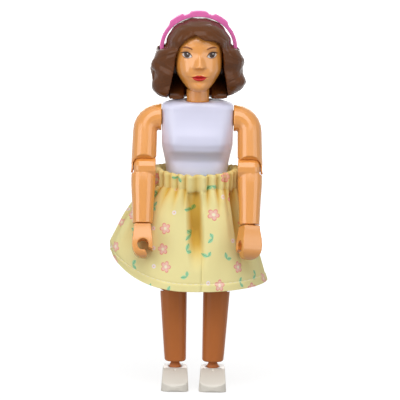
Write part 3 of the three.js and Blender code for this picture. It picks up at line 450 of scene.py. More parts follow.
def face_relief(x, z):
    """How far the face stands out from the plain oval of the head at a point of its front."""
    side = abs(x)
    rise = bell(z - NOSE_Z, 0.62) if z < NOSE_Z else bell(z - NOSE_Z, 2.3)
    width = mix(1.25, 0.75, smoothstep(NOSE_Z, NOSE_Z + 3.5, z))
    out = 1.75 * rise * bell(x, width)
    out += 0.4 * bell(side - 0.95, 0.45) * bell(z - NOSE_Z + 0.1, 0.5)
    out += 0.42 * bell(x, 1.7) * bell(z - LIP_Z - 0.42, 0.36)
    out += 0.5 * bell(x, 1.35) * bell(z - LIP_Z + 0.46, 0.42)
    out -= 0.34 * bell(x, 1.9) * bell(z - LIP_Z, 0.15)
    out -= 0.22 * bell(x, 1.6) * bell(z - LIP_Z + 1.35, 0.4)
    out -= 0.1 * bell(x, 0.35) * bell(z - LIP_Z - 1.35, 0.5)
    out += 0.22 * bell(x, 2.0) * bell(z - 1.2, 0.95)
    out += 0.7 * bell(side - 3.6, 2.2) * bell(z - 5.6, 2.6)
    out -= 0.6 * bell(side - EYE_X, 1.75) * bell(z - EYE_Z, 1.3)
    out += 0.42 * bell(side - EYE_X, 1.25) * bell(z - EYE_Z + 0.1, 0.8)
    out += 0.22 * bell(side - EYE_X, 2.2) * bell(z - EYE_Z - 2.2, 0.7)
    return out


def head_points(rows, columns):
    points = []
    for k in range(rows + 1):
        share = k / rows
        wide, front, back, power = curved(HEAD_STATIONS, share)
        z = share * HEAD_HEIGHT
        for i in range(columns):
            turn = 2 * math.pi * i / columns
            x = HEAD_HALF_WIDTH * wide * bulge(math.cos(turn), power)
            y = mix(-front, back, (1 + bulge(math.sin(turn), power)) / 2)
            y -= face_relief(x, z) * smoothstep(2.4, 4.6, -y)
            points.append(tuple(HEAD_TURN @ Vector((x, y, z + JAW.z / MM))))
    return points


class DOLL_OT_head(bpy.types.Operator):
    """Builds the head and paints its eyes, brows and lips"""
    bl_idname = "doll.head"
    bl_label = "Head"

    def execute(self, context):
        rows, columns = 132, 160
        points = head_points(rows, columns)
        faces = grid(rows + 1, columns, closed=True)
        faces.append(tuple(range(columns))[::-1])
        faces.append(tuple(rows * columns + i for i in range(columns)))
        head = linked("head_moulding", shaped("head_moulding", points, faces))
        piece(head, bpy.data.materials["skin_abs"], ["head"], "head")
        paint_face(head)
        return {"FINISHED"}


# Face paint: each coat fills the space between an upper and a lower line of (x, z) points

RIM_INK, LOWER_LIP_INK, LID_INK = "3A2010", "D8322A", "B4703A"
# Shapes about the middle of the left eye: name, ink, height in coats, upper line and lower line
EYE_LINES = (
    ("eye_white", "white", 1, ((-1.32, -0.28), (-0.8, 0.42), (0, 0.8), (0.75, 0.6), (1.34, 0.1)),
     ((-1.32, -0.28), (-0.7, -0.6), (0, -0.74), (0.75, -0.52), (1.34, 0.1))),
    ("upper_lash", "lash", 6, ((-1.42, -0.3), (-0.9, 0.56), (0, 1.02), (0.9, 0.86), (1.72, 0.42)),
     ((-1.42, -0.3), (-0.85, 0.36), (0, 0.74), (0.8, 0.54), (1.72, 0.42))),
    ("lower_lash", "brow", 2, ((-1.3, -0.34), (-0.7, -0.6), (0, -0.74), (0.8, -0.54), (1.5, 0.08)),
     ((-1.3, -0.34), (-0.7, -0.68), (0, -0.84), (0.85, -0.64), (1.5, 0.08))),
    ("lid_line", "lid", 1, ((-1.2, 0.62), (-0.6, 1.1), (0.1, 1.32), (0.9, 1.12), (1.5, 0.72)),
     ((-1.2, 0.62), (-0.6, 1.02), (0.1, 1.2), (0.9, 1.02), (1.5, 0.72))),
    ("brow", "brow", 1, ((-1.42, 1.92), (-0.8, 2.24), (-0.1, 2.42), (0.7, 2.34), (1.5, 1.88)),
     ((-1.4, 1.56), (-0.8, 1.78), (-0.1, 1.94), (0.7, 1.96), (1.5, 1.8))),
)
# Discs in both eyes: name, ink, height in coats, place to the viewer's right and up, and radius
EYE_DISCS = (
    ("iris_rim", "rim", 2, 0, 0, 0.79), ("iris", "iris", 3, 0, -0.02, 0.67),
    ("pupil", "lash", 4, 0, 0, 0.37), ("eye_light", "white", 5, 0.2, 0.24, 0.17),
)
# Half of each line of the mouth, from its corner to its middle, about the height of the lips
MOUTH_TOP = ((2.1, 0.06), (1.2, 0.46), (0.5, 0.7), (0, 0.58))
MOUTH_LINE = ((2.1, 0.06), (1.0, -0.02), (0.4, -0.06), (0, -0.14))
MOUTH_LOW = ((2.0, 0.0), (1.25, -0.58), (0.6, -0.84), (0, -0.92))


def even_curve(points, count):
    """Points at even steps of a smooth curve through a few points."""
    keyed = [(i / (len(points) - 1), *point) for i, point in enumerate(points)]
    return [tuple(curved(keyed, k / (count - 1))) for k in range(count)]


def painted(name, tree, upper, lower, lift, finish):
    columns, rows = 33, 7
    top = even_curve(upper, columns)
    low = even_curve(lower, columns)
    points = []
    for k in range(rows):
        for (x0, z0), (x1, z1) in zip(low, top):
            x, z = mix(x0, x1, k / (rows - 1)), mix(z0, z1, k / (rows - 1))
            start = JAW + HEAD_TURN @ Vector((x, -30, z)) * MM
            hit, normal, _, _ = tree.ray_cast(start, HEAD_TURN @ Vector((0, 1, 0)))
            points.append(tuple(local(hit + normal * lift * MM)))
    obj = linked(name, shaped(name, points, grid(rows, columns, closed=False)))
    piece(walled(obj, 2 * lift * MM), finish, body="head")


def paint(name, hex_value, roughness=0.3):
    """Pad-printed enamel: thin, even and a little glossier than the plastic under it."""
    material, tree, principled = shader(name)
    place = add(tree, "ShaderNodeTexCoord").outputs["Object"]
    speck_width = 0.4 * MM
    specks = add(tree, "ShaderNodeTexNoise", {"Vector": place, "Scale": 1 / speck_width, "Detail": 2.0})
    base = linear(hex_value)
    tone = add(tree, "ShaderNodeMix", {"Factor": specks.outputs["Fac"], "A": shade(base, 0.85), "B": base},
               data_type="RGBA")
    feed(tree, principled, {"Base Color": tone.outputs["Result"], "Roughness": roughness,
                            "Specular IOR Level": 0.25})
    return material


def disc(x, z, radius):
    arc = [(-1, 0), (-0.7, 0.714), (0, 1), (0.7, 0.714), (1, 0)]
    upper = [(x + radius * a, z + radius * b) for a, b in arc]
    lower = [(x + radius * a, z - radius * b) for a, b in arc]
    return upper, lower


def paint_face(head):
    graph = bpy.context.evaluated_depsgraph_get()
    tree = BVHTree.FromObject(head, graph)
    inks = {name: paint(name + "_enamel", getattr(colours(), name))
            for name in ("white", "iris", "lash", "brow", "lip")}
    inks["rim"] = paint("rim_enamel", RIM_INK)
    inks["lip_low"] = paint("lower_lip_enamel", LOWER_LIP_INK, 0.25)
    inks["lid"] = paint("lid_enamel", LID_INK)
    lift = size_mm("paint_lift")
    for side, s in SIDES:
        for name, ink, coats, *lines in EYE_LINES:
            lines = [[(s * (EYE_X + x), EYE_Z + z) for x, z in line][::s] for line in lines]
            painted(f"{side}_{name}", tree, *lines, coats * lift, inks[ink])
        # The gaze is level, and the upper lid covers the top of the iris
        cx, cz = s * (EYE_X + 0.02), EYE_Z + 0.18
        for name, ink, coats, x, z, radius in EYE_DISCS:
            painted(f"{side}_{name}", tree, *disc(cx + x, cz + z, radius), coats * lift, inks[ink])
    top, line, low = ([(-x, LIP_Z + z) for x, z in half] + [(x, LIP_Z + z) for x, z in half[-2::-1]]
                      for half in (MOUTH_TOP, MOUTH_LINE, MOUTH_LOW))
    painted("upper_lip", tree, top, line, lift, inks["lip"])
    painted("lower_lip", tree, line, low, lift, inks["lip_low"])


# Hair and headband

# Colour of the painted shade in the wig's hollows
HAIR_HOLLOW_SHADE = "040201"
# Radius round the neck that the wig's lower rim keeps clear
NECK_ROOM = 3.8
# How far the crown stands out at its sides, close under the headband
CROWN_FULLNESS = 0.65


def lock_relief(x, y, z):
    """Broad rounded locks with sharp grooves between them, swept from a parting and set in waves."""
    high = smoothstep(9, 16, z)
    low = 1 - smoothstep(3, 12, z)
    pole_x, pole_y = mix(0, -1.2, high), mix(0.5, -5.5, high)
    angle = math.atan2(y - pole_y, x - pole_x)
    swing = 0.34 * math.sin(2 * math.pi * z / 8.5 + (0.6 if x > 0 else 2.2)) * (1 - 0.6 * high)
    far = smoothstep(0.8, 4, math.hypot(x - pole_x, y - pole_y)) * mix(1, 0.3, smoothstep(13, 17, z))
    lock = abs(math.sin(4 * (angle + swing) + 0.9)) ** 0.8 - 0.6
    strand = math.sin(34 * (angle + 1.1 * swing))
    curl = math.sin(2 * math.pi * z / 6.6 + 1.2 * angle)
    return far * (0.75 * lock + 0.05 * strand) + 0.75 * low * curl


class DOLL_OT_hair(bpy.types.Operator):
    """Moulds the wig and carves its waved locks"""
    bl_idname = "doll.hair"
    bl_label = "Hair"

    def execute(self, context):
        # The wig's hollows get painted shade
        finish = moulded_plastic("hair_abs", colours().hair, 0.24, mottle=0.1, specular=0.17,
                                 hollow_shade=HAIR_HOLLOW_SHADE)
        hair = moulded("hair", step=0.2, rounds=16)
        depth = size_mm("strand_depth")
        mesh = hair.data
        normals = [vertex.normal.copy() for vertex in mesh.vertices]
        for vertex, normal in zip(mesh.vertices, normals):
            x, y, z = HEAD_TURN.inverted() @ local(vertex.co)
            z -= JAW.z / MM
            outward = Vector((x, y, 0.8 * (z - 9))).normalized()
            outside = smoothstep(0.05, 0.5, normal.dot(outward))
            if outside > 0:
                vertex.co += normal * (depth * MM * outside * lock_relief(x, y, z))
                fullness = CROWN_FULLNESS * MM * outside * smoothstep(11, 14.5, z)
                vertex.co += Vector((normal.x, 0, 0)) * fullness
            # The wig thickens towards its lower rim, and leaves room for the neck to turn
            forward = smoothstep(0.2, 0.6, -normal.y) * smoothstep(0, 1.5, y)
            nape = forward * (1 - smoothstep(-2.4, 3.2, z))
            if nape > 0:
                rim = math.sqrt(max(0.0, NECK_ROOM ** 2 - x * x))
                rim -= smoothstep(NECK_ROOM - 1, NECK_ROOM + 1.5, abs(x))
                vertex.co += HEAD_TURN @ Vector((0, MM * nape * (rim - y), 0))
        piece(hair, finish, ["hair"], "head")
        return {"FINISHED"}


class DOLL_OT_headband(bpy.types.Operator):
    """Moulds the stepped headband"""
    bl_idname = "doll.headband"
    bl_label = "Headband"

    def execute(self, context):
        finish = moulded_plastic("pink_abs", colours().band, 0.38)
        piece(moulded("headband", step=0.13, rounds=5), finish, ["headband"], "head")
        return {"FINISHED"}


# Skirt: a printed cotton cone in two panels that lap at the centre front and back, and a ruffled waistband

SKIRT_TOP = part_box("skirt")[1].z / MM
BAND_LOW, BAND_TOP = (corner.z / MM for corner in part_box("waistband"))
SKIRT_LENGTH = 26.9
WAIST_HALF_WIDTH, WAIST_FRONT, WAIST_BACK, WAIST_POWER = 10.4, 6.15, 6.45, 2.6
BAND_HALF = 0.95
HEM_RIGHT, HEM_LEFT, HEM_FRONT, HEM_BACK, HEM_POWER = 24.8, 19.6, 13.6, 13.0, 1.85
LIFT_RIGHT, LIFT_LEFT, LIFT_BACK, LIFT_POWER = 8.9, 1.0, 5.9, 2.9
# Angle round the waist, drift from waist to hem and half width in degrees, depth in millimetres, and the
# shares of the drop between which the fold fades; a depth under 0 is a soft ridge
FOLDS = (
    (-93, 7, 5.5, 4.2, 0.42, 0.82), (-36, -3, 7, 2.4, 0.4, 0.9), (-118, -2, 13, -0.7, 0.3, 0.9),
    (-66, 6, 10, -0.8, 0.3, 0.75), (-146, -3, 6, 0.9, 0.4, 0.9), (-8, 0, 9, 0.8, 0.5, 1.2),
    (28, 0, 9, 1.2, 0.6, 2.0), (66, 0, 9, 1.8, 0.6, 2.0), (104, 0, 9, 1.8, 0.6, 2.0),
    (148, 0, 9, 1.2, 0.6, 2.0), (186, 0, 8, 0.8, 0.5, 1.2),
)
# The panels lap this far past the centre front and back, in degrees; the lower one goes in by LAP_UNDER
# over LAP_RISE degrees, and the upper one's edge goes in by LAP_DIP
LAP_ANGLE, LAP_RISE = 6.0, 7
LAP_UNDER, LAP_DIP = 0.32, 0.24
# How far the panels reach up inside the waistband, and how far the stitches stand out
TUCK, STITCH_LIFT = 0.9, 0.04
THREAD_RADIUS = 0.11
# The cut cloth is a part of a ring: radii at the waist and the hem, and millimetres in a unit of its UV map
FLAT_WAIST, FLAT_HEM = 26.0, 53.0
FLAT_SPREAD = math.radians(136)
CUT_UNIT = 100.0


def waist_point(angle, outward):
    c = bulge(math.cos(angle), WAIST_POWER)
    s = bulge(math.sin(angle), WAIST_POWER)
    depth = WAIST_FRONT if s < 0 else WAIST_BACK
    return (WAIST_HALF_WIDTH + outward) * c, (depth + outward) * s


def hem_point(angle):
    c = bulge(math.cos(angle), HEM_POWER)
    s = bulge(math.sin(angle), HEM_POWER)
    return (HEM_RIGHT if c < 0 else HEM_LEFT) * c, (HEM_FRONT if s < 0 else HEM_BACK) * s


def hem_lift(angle):
    c, s = math.cos(angle), math.sin(angle)
    side = LIFT_RIGHT if c < 0 else LIFT_LEFT
    return side * abs(c) ** LIFT_POWER + (LIFT_BACK * s * s if s > 0 else 0)


def turned(angle):
    return math.atan2(math.sin(angle), math.cos(angle))


def fold_depth(angle, drop):
    depth = 0
    for place, drift, width, deep, start, end in FOLDS:
        off = abs(turned(angle - math.radians(place + drift * drop))) / math.radians(width)
        flat = 1 - smoothstep(0.45, 1.45, off)
        depth += deep * flat * (1 - smoothstep(start, end, drop))
    # No fold goes in as far as the hips
    return min(depth * smoothstep(0.0, 0.16, drop), 1.2 + 7 * drop)


def painted_crease_shade(angle, drop):
    """How much painted shade a point of the skirt gets for lying in a fold or between two gathers, from 0 to
    1.
    """
    folded = max(0.0, fold_depth(angle, drop)) / 3.0
    gathered = 0.7 * (1 - gather(angle)) * bell(drop, 0.17)
    return min(1.0, folded + gathered)


def gather(angle):
    """Uneven gathers, from -1 in the sharp creases to 1 on the puffs."""
    count = bpy.context.scene.doll.gathers
    drift = 0.8 * math.sin(2 * angle + 0.4) + 1.1 * math.sin(5 * angle + 2.0)
    deep = 0.78 + 0.22 * math.sin(4 * angle + 1.0)
    return 2 * deep * abs(math.cos(0.5 * (count * angle + drift))) ** 0.7 - 1


def flare(angle, drop):
    """How far the cloth has spread on its way to the hem: quickly on the doll's right, evenly elsewhere."""
    return drop ** mix(0.92, 0.62, smoothstep(0.2, 1, -math.cos(angle)))


def skirt_point(angle, drop, inward):
    top_x, top_y = waist_point(angle, BAND_HALF - 0.3)
    hem_x, hem_y = hem_point(angle)
    spread = flare(angle, drop)
    x, y = mix(top_x, hem_x, spread), mix(top_y, hem_y, spread)
    out = Vector((math.cos(angle), math.sin(angle)))
    shift = -fold_depth(angle, drop) - inward
    shift += size_mm("pleat_depth") * (gather(angle) - 0.1) * bell(drop, 0.15)
    wrinkle = noise.noise(Vector((3.1 * math.cos(angle), 3.1 * math.sin(angle), 2.2 * drop)))
    shift += 0.35 * wrinkle * smoothstep(0.1, 0.5, drop)
    # The turned-up hem is double below its stitches, and the corner on the doll's right rolls in
    from_stitches = (drop - hem_drop()) * SKIRT_LENGTH
    shift += 0.16 * smoothstep(-0.1, 0.25, from_stitches) - 0.12 * bell(from_stitches, 0.25)
    shift -= 1.5 * smoothstep(0.82, 1, drop) ** 2 * max(0.0, -math.cos(angle)) ** 5
    z = SKIRT_TOP + TUCK - drop * (SKIRT_LENGTH + TUCK - hem_lift(angle))
    return Vector((x + out.x * shift, y + out.y * shift, z))


def hem_drop():
    return 1 - size_mm("hem") / SKIRT_LENGTH


def flat_place(share, drop):
    """Where a point of the skirt lies on the cut cloth, in units of its UV map."""
    spin = (share - 0.5) * FLAT_SPREAD
    radius = mix(FLAT_WAIST, FLAT_HEM, drop)
    return radius * math.sin(spin) / CUT_UNIT, -radius * math.cos(spin) / CUT_UNIT


# Colours inside the print's blossoms and buds, and the golden tint of the painted shade in folds
PETAL_BLUSH, BLOSSOM_EYE, BUD_EYE, FOLD_SHADE_TINT = "FBDCCB", "FBF3D2", "F3C46A", "E8C67C"
# The weave and the print in millimetres, step by step: a name, an operation, and numbers or earlier names.
# UNDER is 1 where a value is below a limit, with a soft edge
CELL_STEPS = (
    ("x", "MULTIPLY", "away_x", CUT_UNIT), ("y", "MULTIPLY", "away_y", CUT_UNIT),
    ("xx", "MULTIPLY", "x", "x"), ("yy", "MULTIPLY", "y", "y"), ("square", "ADD", "xx", "yy"),
    ("radius", "SQRT", "square"), ("bearing", "ARCTAN2", "y", "x"),
    ("spin", "MULTIPLY", "draw", 2 * math.pi), ("angle", "ADD", "bearing", "spin"),
    ("is_blossom", "UNDER", "kind", 0.40, 0.001), ("not_bud", "UNDER", "kind", 0.74, 0.001),
    ("is_bud", "SUBTRACT", 1.0, "not_bud"), ("not_blossom", "SUBTRACT", 1.0, "is_blossom"),
    ("is_leaf", "SUBTRACT", "not_blossom", "is_bud"),
    ("warp_turn", "MULTIPLY", "cut_x", "thread_turn"), ("weft_turn", "MULTIPLY", "cut_y", "thread_turn"),
    ("warp", "SINE", "warp_turn"), ("weft", "SINE", "weft_turn"), ("weave", "MULTIPLY", "warp", "weft"),
    ("ribs", "MULTIPLY", "weave", 0.4), ("height", "ADD", "ribs", "slub"),
)
BLOSSOM_STEPS = (
    ("petal_turn", "MULTIPLY", "angle", 2.5), ("wave", "COSINE", "petal_turn"), ("lobe", "ABSOLUTE", "wave"),
    ("round_lobe", "POWER", "lobe", 0.6), ("petal_edge", "MULTIPLY_ADD", "round_lobe", 0.85, 0.72),
    ("past_edge", "SUBTRACT", "radius", "petal_edge"),
    ("in_petal", "UNDER", "past_edge", 0.0, 0.07), ("petals", "MULTIPLY", "is_blossom", "in_petal"),
    ("in_blush", "UNDER", "past_edge", -0.26, 0.1), ("blush", "MULTIPLY", "is_blossom", "in_blush"),
    ("thin_blush", "MULTIPLY", "blush", 0.72),
    ("in_eye", "UNDER", "radius", 0.42, 0.06), ("eye", "MULTIPLY", "is_blossom", "in_eye"),
)
LEAF_STEPS = (
    ("about", "ADD", "angle", "swing"), ("cosine", "COSINE", "about"), ("sine", "SINE", "about"),
    ("along", "MULTIPLY", "radius", "cosine"), ("across", "MULTIPLY", "radius", "sine"),
    ("off", "SUBTRACT", "along", "half_reach"), ("share", "DIVIDE", "off", "half_reach"),
    ("bow", "MULTIPLY", "share", "share"), ("taper", "SUBTRACT", 1.0, "bow"),
    ("half", "MULTIPLY", "taper", 0.48), ("side", "ABSOLUTE", "across"),
    ("past_leaf", "SUBTRACT", "side", "half"),
    ("in_leaf", "UNDER", "past_leaf", 0.0, 0.05), ("leaf", "MULTIPLY", "is_leaf", "in_leaf"),
    ("in_vein", "UNDER", "side", 0.05, 0.05), ("vein", "MULTIPLY", "leaf", "in_vein"),
)
BUD_STEPS = (
    ("in_bud", "UNDER", "radius", 0.58, 0.08), ("bud", "MULTIPLY", "is_bud", "in_bud"),
    ("in_bud_eye", "UNDER", "radius", 0.2, 0.06), ("bud_eye", "MULTIPLY", "is_bud", "in_bud_eye"),
)


def printed_cotton(name):
    """Plain-woven cotton with a scattered print: matt, with threads just felt in the bump, and small
    five-petalled blossoms, leaf pairs and pale buds that follow the cut of the cloth."""
    material, tree, principled = shader(name)
    cut = add(tree, "ShaderNodeUVMap", uv_map="cut").outputs["UV"]
    cells = add(tree, "ShaderNodeTexVoronoi", {"Vector": cut, "Scale": CUT_UNIT / size_mm("print_spacing"),
                                               "Randomness": 0.62}, voronoi_dimensions="2D")
    away = add(tree, "ShaderNodeVectorMath", {0: cut, 1: cells.outputs["Position"]}, operation="SUBTRACT")
    away_axes = add(tree, "ShaderNodeSeparateXYZ", {"Vector": away.outputs[0]}).outputs
    cut_axes = add(tree, "ShaderNodeSeparateXYZ", {"Vector": cut}).outputs
    draws = add(tree, "ShaderNodeSeparateColor", {"Color": cells.outputs["Color"]}).outputs
    slub = add(tree, "ShaderNodeTexNoise", {"Vector": cut, "Scale": 14.0, "Detail": 4.0}).outputs["Fac"]
    known = {"away_x": away_axes["X"], "away_y": away_axes["Y"], "cut_x": cut_axes["X"],
             "cut_y": cut_axes["Y"], "kind": draws["Red"], "draw": draws["Green"], "slub": slub,
             "thread_turn": CUT_UNIT / size_mm("thread_spacing") * 2 * math.pi}
    base = linear(colours().cloth)
    deep = (base[0] * 0.93, base[1] * 0.9, base[2] * 0.82, 1.0)
    tone = add(tree, "ShaderNodeMix", {"Factor": slub, "A": deep, "B": base}, data_type="RGBA")
    leaf_inks = (("leaf", colours().leaf), ("vein", colours().vein))
    motifs = (
        (CELL_STEPS, {}, ()),
        (BLOSSOM_STEPS, {}, (("petals", colours().petal), ("thin_blush", PETAL_BLUSH), ("eye", BLOSSOM_EYE))),
        (LEAF_STEPS, {"swing": 0.5, "half_reach": 0.95}, leaf_inks),
        (LEAF_STEPS, {"swing": 2.2, "half_reach": 0.75}, leaf_inks),
        (BUD_STEPS, {}, (("bud", colours().bud), ("bud_eye", BUD_EYE))),
    )
    for steps, sizes, inks in motifs:
        known.update(sizes)
        for step, operation, *values in steps:
            values = [known.get(value, value) for value in values]
            if operation == "UNDER":
                value, limit, soft = values
                node = add(tree, "ShaderNodeMapRange", {"Value": value, "From Min": limit - soft,
                                                        "From Max": limit + soft, "To Min": 1.0,
                                                        "To Max": 0.0})
            else:
                node = add(tree, "ShaderNodeMath", dict(enumerate(values)), operation=operation)
            known[step] = node.outputs[0]
        for mask, ink in inks:
            tone = add(tree, "ShaderNodeMix", {"Factor": known[mask], "A": tone.outputs["Result"],
                                               "B": linear(ink)}, data_type="RGBA")
    # Painted shade: folds and gathers are darkened towards a golden tint, for light caught between them
    shade_attribute = add(tree, "ShaderNodeAttribute", attribute_name="painted_crease_shade")
    tone = add(tree, "ShaderNodeMix", {"Factor": shade_attribute.outputs["Fac"], "A": tone.outputs["Result"],
                                       "B": linear(FOLD_SHADE_TINT)}, data_type="RGBA", blend_type="MULTIPLY")
    bump = add(tree, "ShaderNodeBump", {"Height": known["height"], "Strength": 0.25, "Distance": 0.1 * MM})
    feed(tree, principled, {"Base Color": tone.outputs["Result"], "Normal": bump.outputs["Normal"],
                            "Roughness": 0.85, "Sheen Weight": 0.12, "Sheen Roughness": 0.5,
                            "Specular IOR Level": 0.25})
    return material


def cloth_mesh(name, points, rows, columns, places, painted_shades, downwards=False):
    """A sheet with its place on the cut cloth as a UV map and its painted shade in creases as an attribute,
    given the cloth's thickness."""
    mesh = shaped(name, points, grid(rows, columns, closed=False))
    if downwards:
        mesh.flip_normals()
    layer = mesh.uv_layers.new(name="cut")
    for loop in mesh.loops:
        layer.data[loop.index].uv = places[loop.vertex_index]
    mesh.attributes.new("painted_crease_shade", "FLOAT", "POINT").data.foreach_set("value", painted_shades)
    return walled(linked(name, mesh), size_mm("cloth_wall") * MM)


def hem_shares(samples=720):
    """The hem's length from the centre back round to each angle, as a share of the whole."""
    total, shares = 0.0, [0.0]
    last = Vector(hem_point(math.pi / 2))
    for k in range(1, samples + 1):
        point = Vector(hem_point(math.pi / 2 + 2 * math.pi * k / samples))
        total += (point - last).length
        shares.append(total)
        last = point
    return [share / total for share in shares]


class DOLL_OT_skirt(bpy.types.Operator):
    """Hangs the two printed panels of the skirt and stitches their hem"""
    bl_idname = "doll.skirt"
    bl_label = "Skirt"

    def execute(self, context):
        cotton = printed_cotton("printed_cotton")
        # Sewing thread is pale and has no gloss
        thread = paint("cotton_thread", colours().thread, 0.8)
        shares = hem_shares()
        columns = 192
        body_rows, hem_rows = 64, 28
        hem_start = hem_drop() - 0.03
        drops = [hem_start * k / body_rows for k in range(body_rows)]
        drops += [mix(hem_start, 1, k / (hem_rows - 1)) for k in range(hem_rows)]
        sweep = 180 + 2 * LAP_ANGLE
        for side, s in SIDES:
            first = 90 - LAP_ANGLE if s < 0 else -90 - LAP_ANGLE
            turns = [first + sweep * i / (columns - 1) for i in range(columns)]
            points, places, painted_shades = [], [], []
            for drop in drops:
                for degrees in turns:
                    point, place = panel_point(side, degrees, drop, shares)
                    points.append(tuple(point))
                    places.append(place)
                    # Painted shade in the folds and gathers, which the cloth's material reads as an attribute
                    painted_shades.append(painted_crease_shade(math.radians(degrees), drop))
            stitch_line = [tuple(panel_point(side, degrees, hem_drop(), shares, -STITCH_LIFT)[0])
                           for degrees in turns]
            panel = cloth_mesh(f"{side}_skirt_panel", points, len(drops), columns, places, painted_shades,
                               downwards=True)
            piece(panel, cotton, ["skirt"])
            stitches = hem_stitches(f"{side}_hem_stitches", stitch_line, thread)
            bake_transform(panel)
            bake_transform(stitches)
        return {"FINISHED"}


def panel_point(side, degrees, drop, shares, inward=0.0):
    """A point of one panel: past the centre front the left panel goes under the right one, and past the
    centre back the right panel goes under the left one."""
    angle = math.radians(degrees)
    under_front = smoothstep(0, LAP_RISE, LAP_ANGLE + LAP_RISE - 90 - degrees) if side == "left" else 0
    under_back = smoothstep(0, LAP_RISE, LAP_ANGLE + LAP_RISE + 90 - degrees) if side == "right" else 0
    # The upper panel's edge lies down on the lower panel
    edge = -90 + LAP_ANGLE if side == "right" else 90 + LAP_ANGLE
    dip = smoothstep(-2.5, 0, (degrees - edge + 180) % 360 - 180)
    point = skirt_point(angle, drop, inward + LAP_UNDER * (under_front + under_back) + LAP_DIP * dip)
    samples = len(shares) - 1
    share = shares[int(round(((degrees - 90) % 360) / 360 * samples))]
    return point, flat_place(share, drop)


def hem_stitches(name, line, finish):
    """Short thread loops along a line, made by nodes and then turned into a plain mesh."""
    mesh = bpy.data.meshes.new(name)
    edges = [(i, i + 1) for i in range(len(line) - 1)]
    mesh.from_pydata(in_frame(line), edges, [])
    obj = linked(name, mesh)
    tree = bpy.data.node_groups.new("Hem stitches", "GeometryNodeTree")
    sockets = (("Geometry", "INPUT", "Geometry"), ("Spacing", "INPUT", "Float"),
               ("Thread radius", "INPUT", "Float"), ("Geometry", "OUTPUT", "Geometry"))
    _, spacing, radius, _ = (tree.interface.new_socket(label, in_out=way, socket_type="NodeSocket" + kind)
                             for label, way, kind in sockets)
    inputs = add(tree, "NodeGroupInput")
    path = add(tree, "GeometryNodeMeshToCurve", {"Mesh": inputs.outputs["Geometry"]})
    even = add(tree, "GeometryNodeResampleCurve", {"Curve": path.outputs[0],
                                                   "Length": inputs.outputs["Spacing"]}, mode="LENGTH")
    loop = add(tree, "GeometryNodeMeshUVSphere", {"Segments": 8, "Rings": 6,
                                                  "Radius": inputs.outputs["Thread radius"]})
    stretch = add(tree, "GeometryNodeTransform", {"Geometry": loop.outputs["Mesh"],
                                                  "Scale": (0.8, 0.8, 5.2)})
    tangent = add(tree, "GeometryNodeInputTangent")
    turn = add(tree, "FunctionNodeAlignRotationToVector", {"Vector": tangent.outputs[0]}, axis="Z")
    sewn = add(tree, "GeometryNodeInstanceOnPoints", {"Points": even.outputs[0],
                                                      "Instance": stretch.outputs[0],
                                                      "Rotation": turn.outputs[0]})
    real = add(tree, "GeometryNodeRealizeInstances", {0: sewn.outputs[0]})
    soft = add(tree, "GeometryNodeSetShadeSmooth", {0: real.outputs[0]})
    coloured = add(tree, "GeometryNodeSetMaterial", {0: soft.outputs[0], "Material": finish})
    add(tree, "NodeGroupOutput", {0: coloured.outputs[0]})
    modifier = obj.modifiers.new("Stitches", "NODES")
    modifier.node_group = tree
    modifier[spacing.identifier] = size_mm("stitch") * MM
    modifier[radius.identifier] = THREAD_RADIUS * MM
    return settled(obj)


class DOLL_OT_waistband(bpy.types.Operator):
    """Gathers the ruffled waistband on its elastic"""
    bl_idname = "doll.waistband"
    bl_label = "Waistband"

    def execute(self, context):
        cotton = bpy.data.materials["printed_cotton"]
        columns = 480
        height = BAND_TOP - BAND_LOW
        # Outward place and height of each line of the folded band, from its pinched foot over its frill
        profile = [(0.55, -0.2), (0.78, -0.1), (0.95, 0.04), (1.05, 0.2), (1.02, 0.36), (1.0, 0.52),
                   (1.05, 0.68), (1.08, 0.82), (0.95, 0.94), (0.5, 1.0), (0.0, 0.98), (-0.5, 0.92),
                   (-0.8, 0.7), (-0.85, 0.45), (-0.8, 0.2), (-0.78, 0.0)]
        depth = size_mm("pleat_depth")
        points, places, painted_shades = [], [], []
        for out, up in profile:
            for i in range(columns + 1):
                angle = math.pi / 2 + 2 * math.pi * i / columns
                puff = depth * (gather(angle) - 0.1) * (1 if out > 0 else 0.3)
                x, y = waist_point(angle, BAND_HALF * out + puff)
                dip = 1.1 * bell(turned(angle + math.pi / 2), 0.75) - 0.5
                frill = 0.3 * gather(angle + 0.05)
                z = BAND_LOW + height * up + (frill - dip) * smoothstep(0.4, 1, up)
                points.append((x, y, z))
                places.append(flat_place(i / columns, -0.17 * up - 0.04 * (1 - out)))
                # Painted shade between the gathers of the band
                painted_shades.append(0.1 + 0.3 * (1 - gather(angle)))
        band = cloth_mesh("waistband_ruffle", points, len(profile), columns + 1, places, painted_shades)
        piece(band, cotton, ["waistband"], "body")
        # Elastic tape is pale and has no gloss
        tape = moulded_plastic("elastic_tape", colours().elastic, 0.8)
        coated(frame["nodes"]["waist_elastic"], tape)
        return {"FINISHED"}


# Stage: a pale floor, softboxes at both sides, above and behind, and the camera

class DOLL_OT_stage(bpy.types.Operator):
    """Sets the floor, the lights and the camera"""
    bl_idname = "doll.stage"
    bl_label = "Stage"

    def execute(self, context):
        make_floor()
        make_lights()
        make_camera()
        context.scene.view_settings.view_transform = "Standard"
        return {"FINISHED"}


def background_rays(tree):
    """1 for the rays that show the white background: from the camera, mirrored or passed through."""
    rays = add(tree, "ShaderNodeLightPath")
    seen = add(tree, "ShaderNodeMath", {0: rays.outputs["Is Camera Ray"], 1: rays.outputs["Is Glossy Ray"]},
               operation="MAXIMUM")
    return add(tree, "ShaderNodeMath", {0: seen.outputs[0], 1: rays.outputs["Is Transmission Ray"]},
               operation="MAXIMUM").outputs[0]


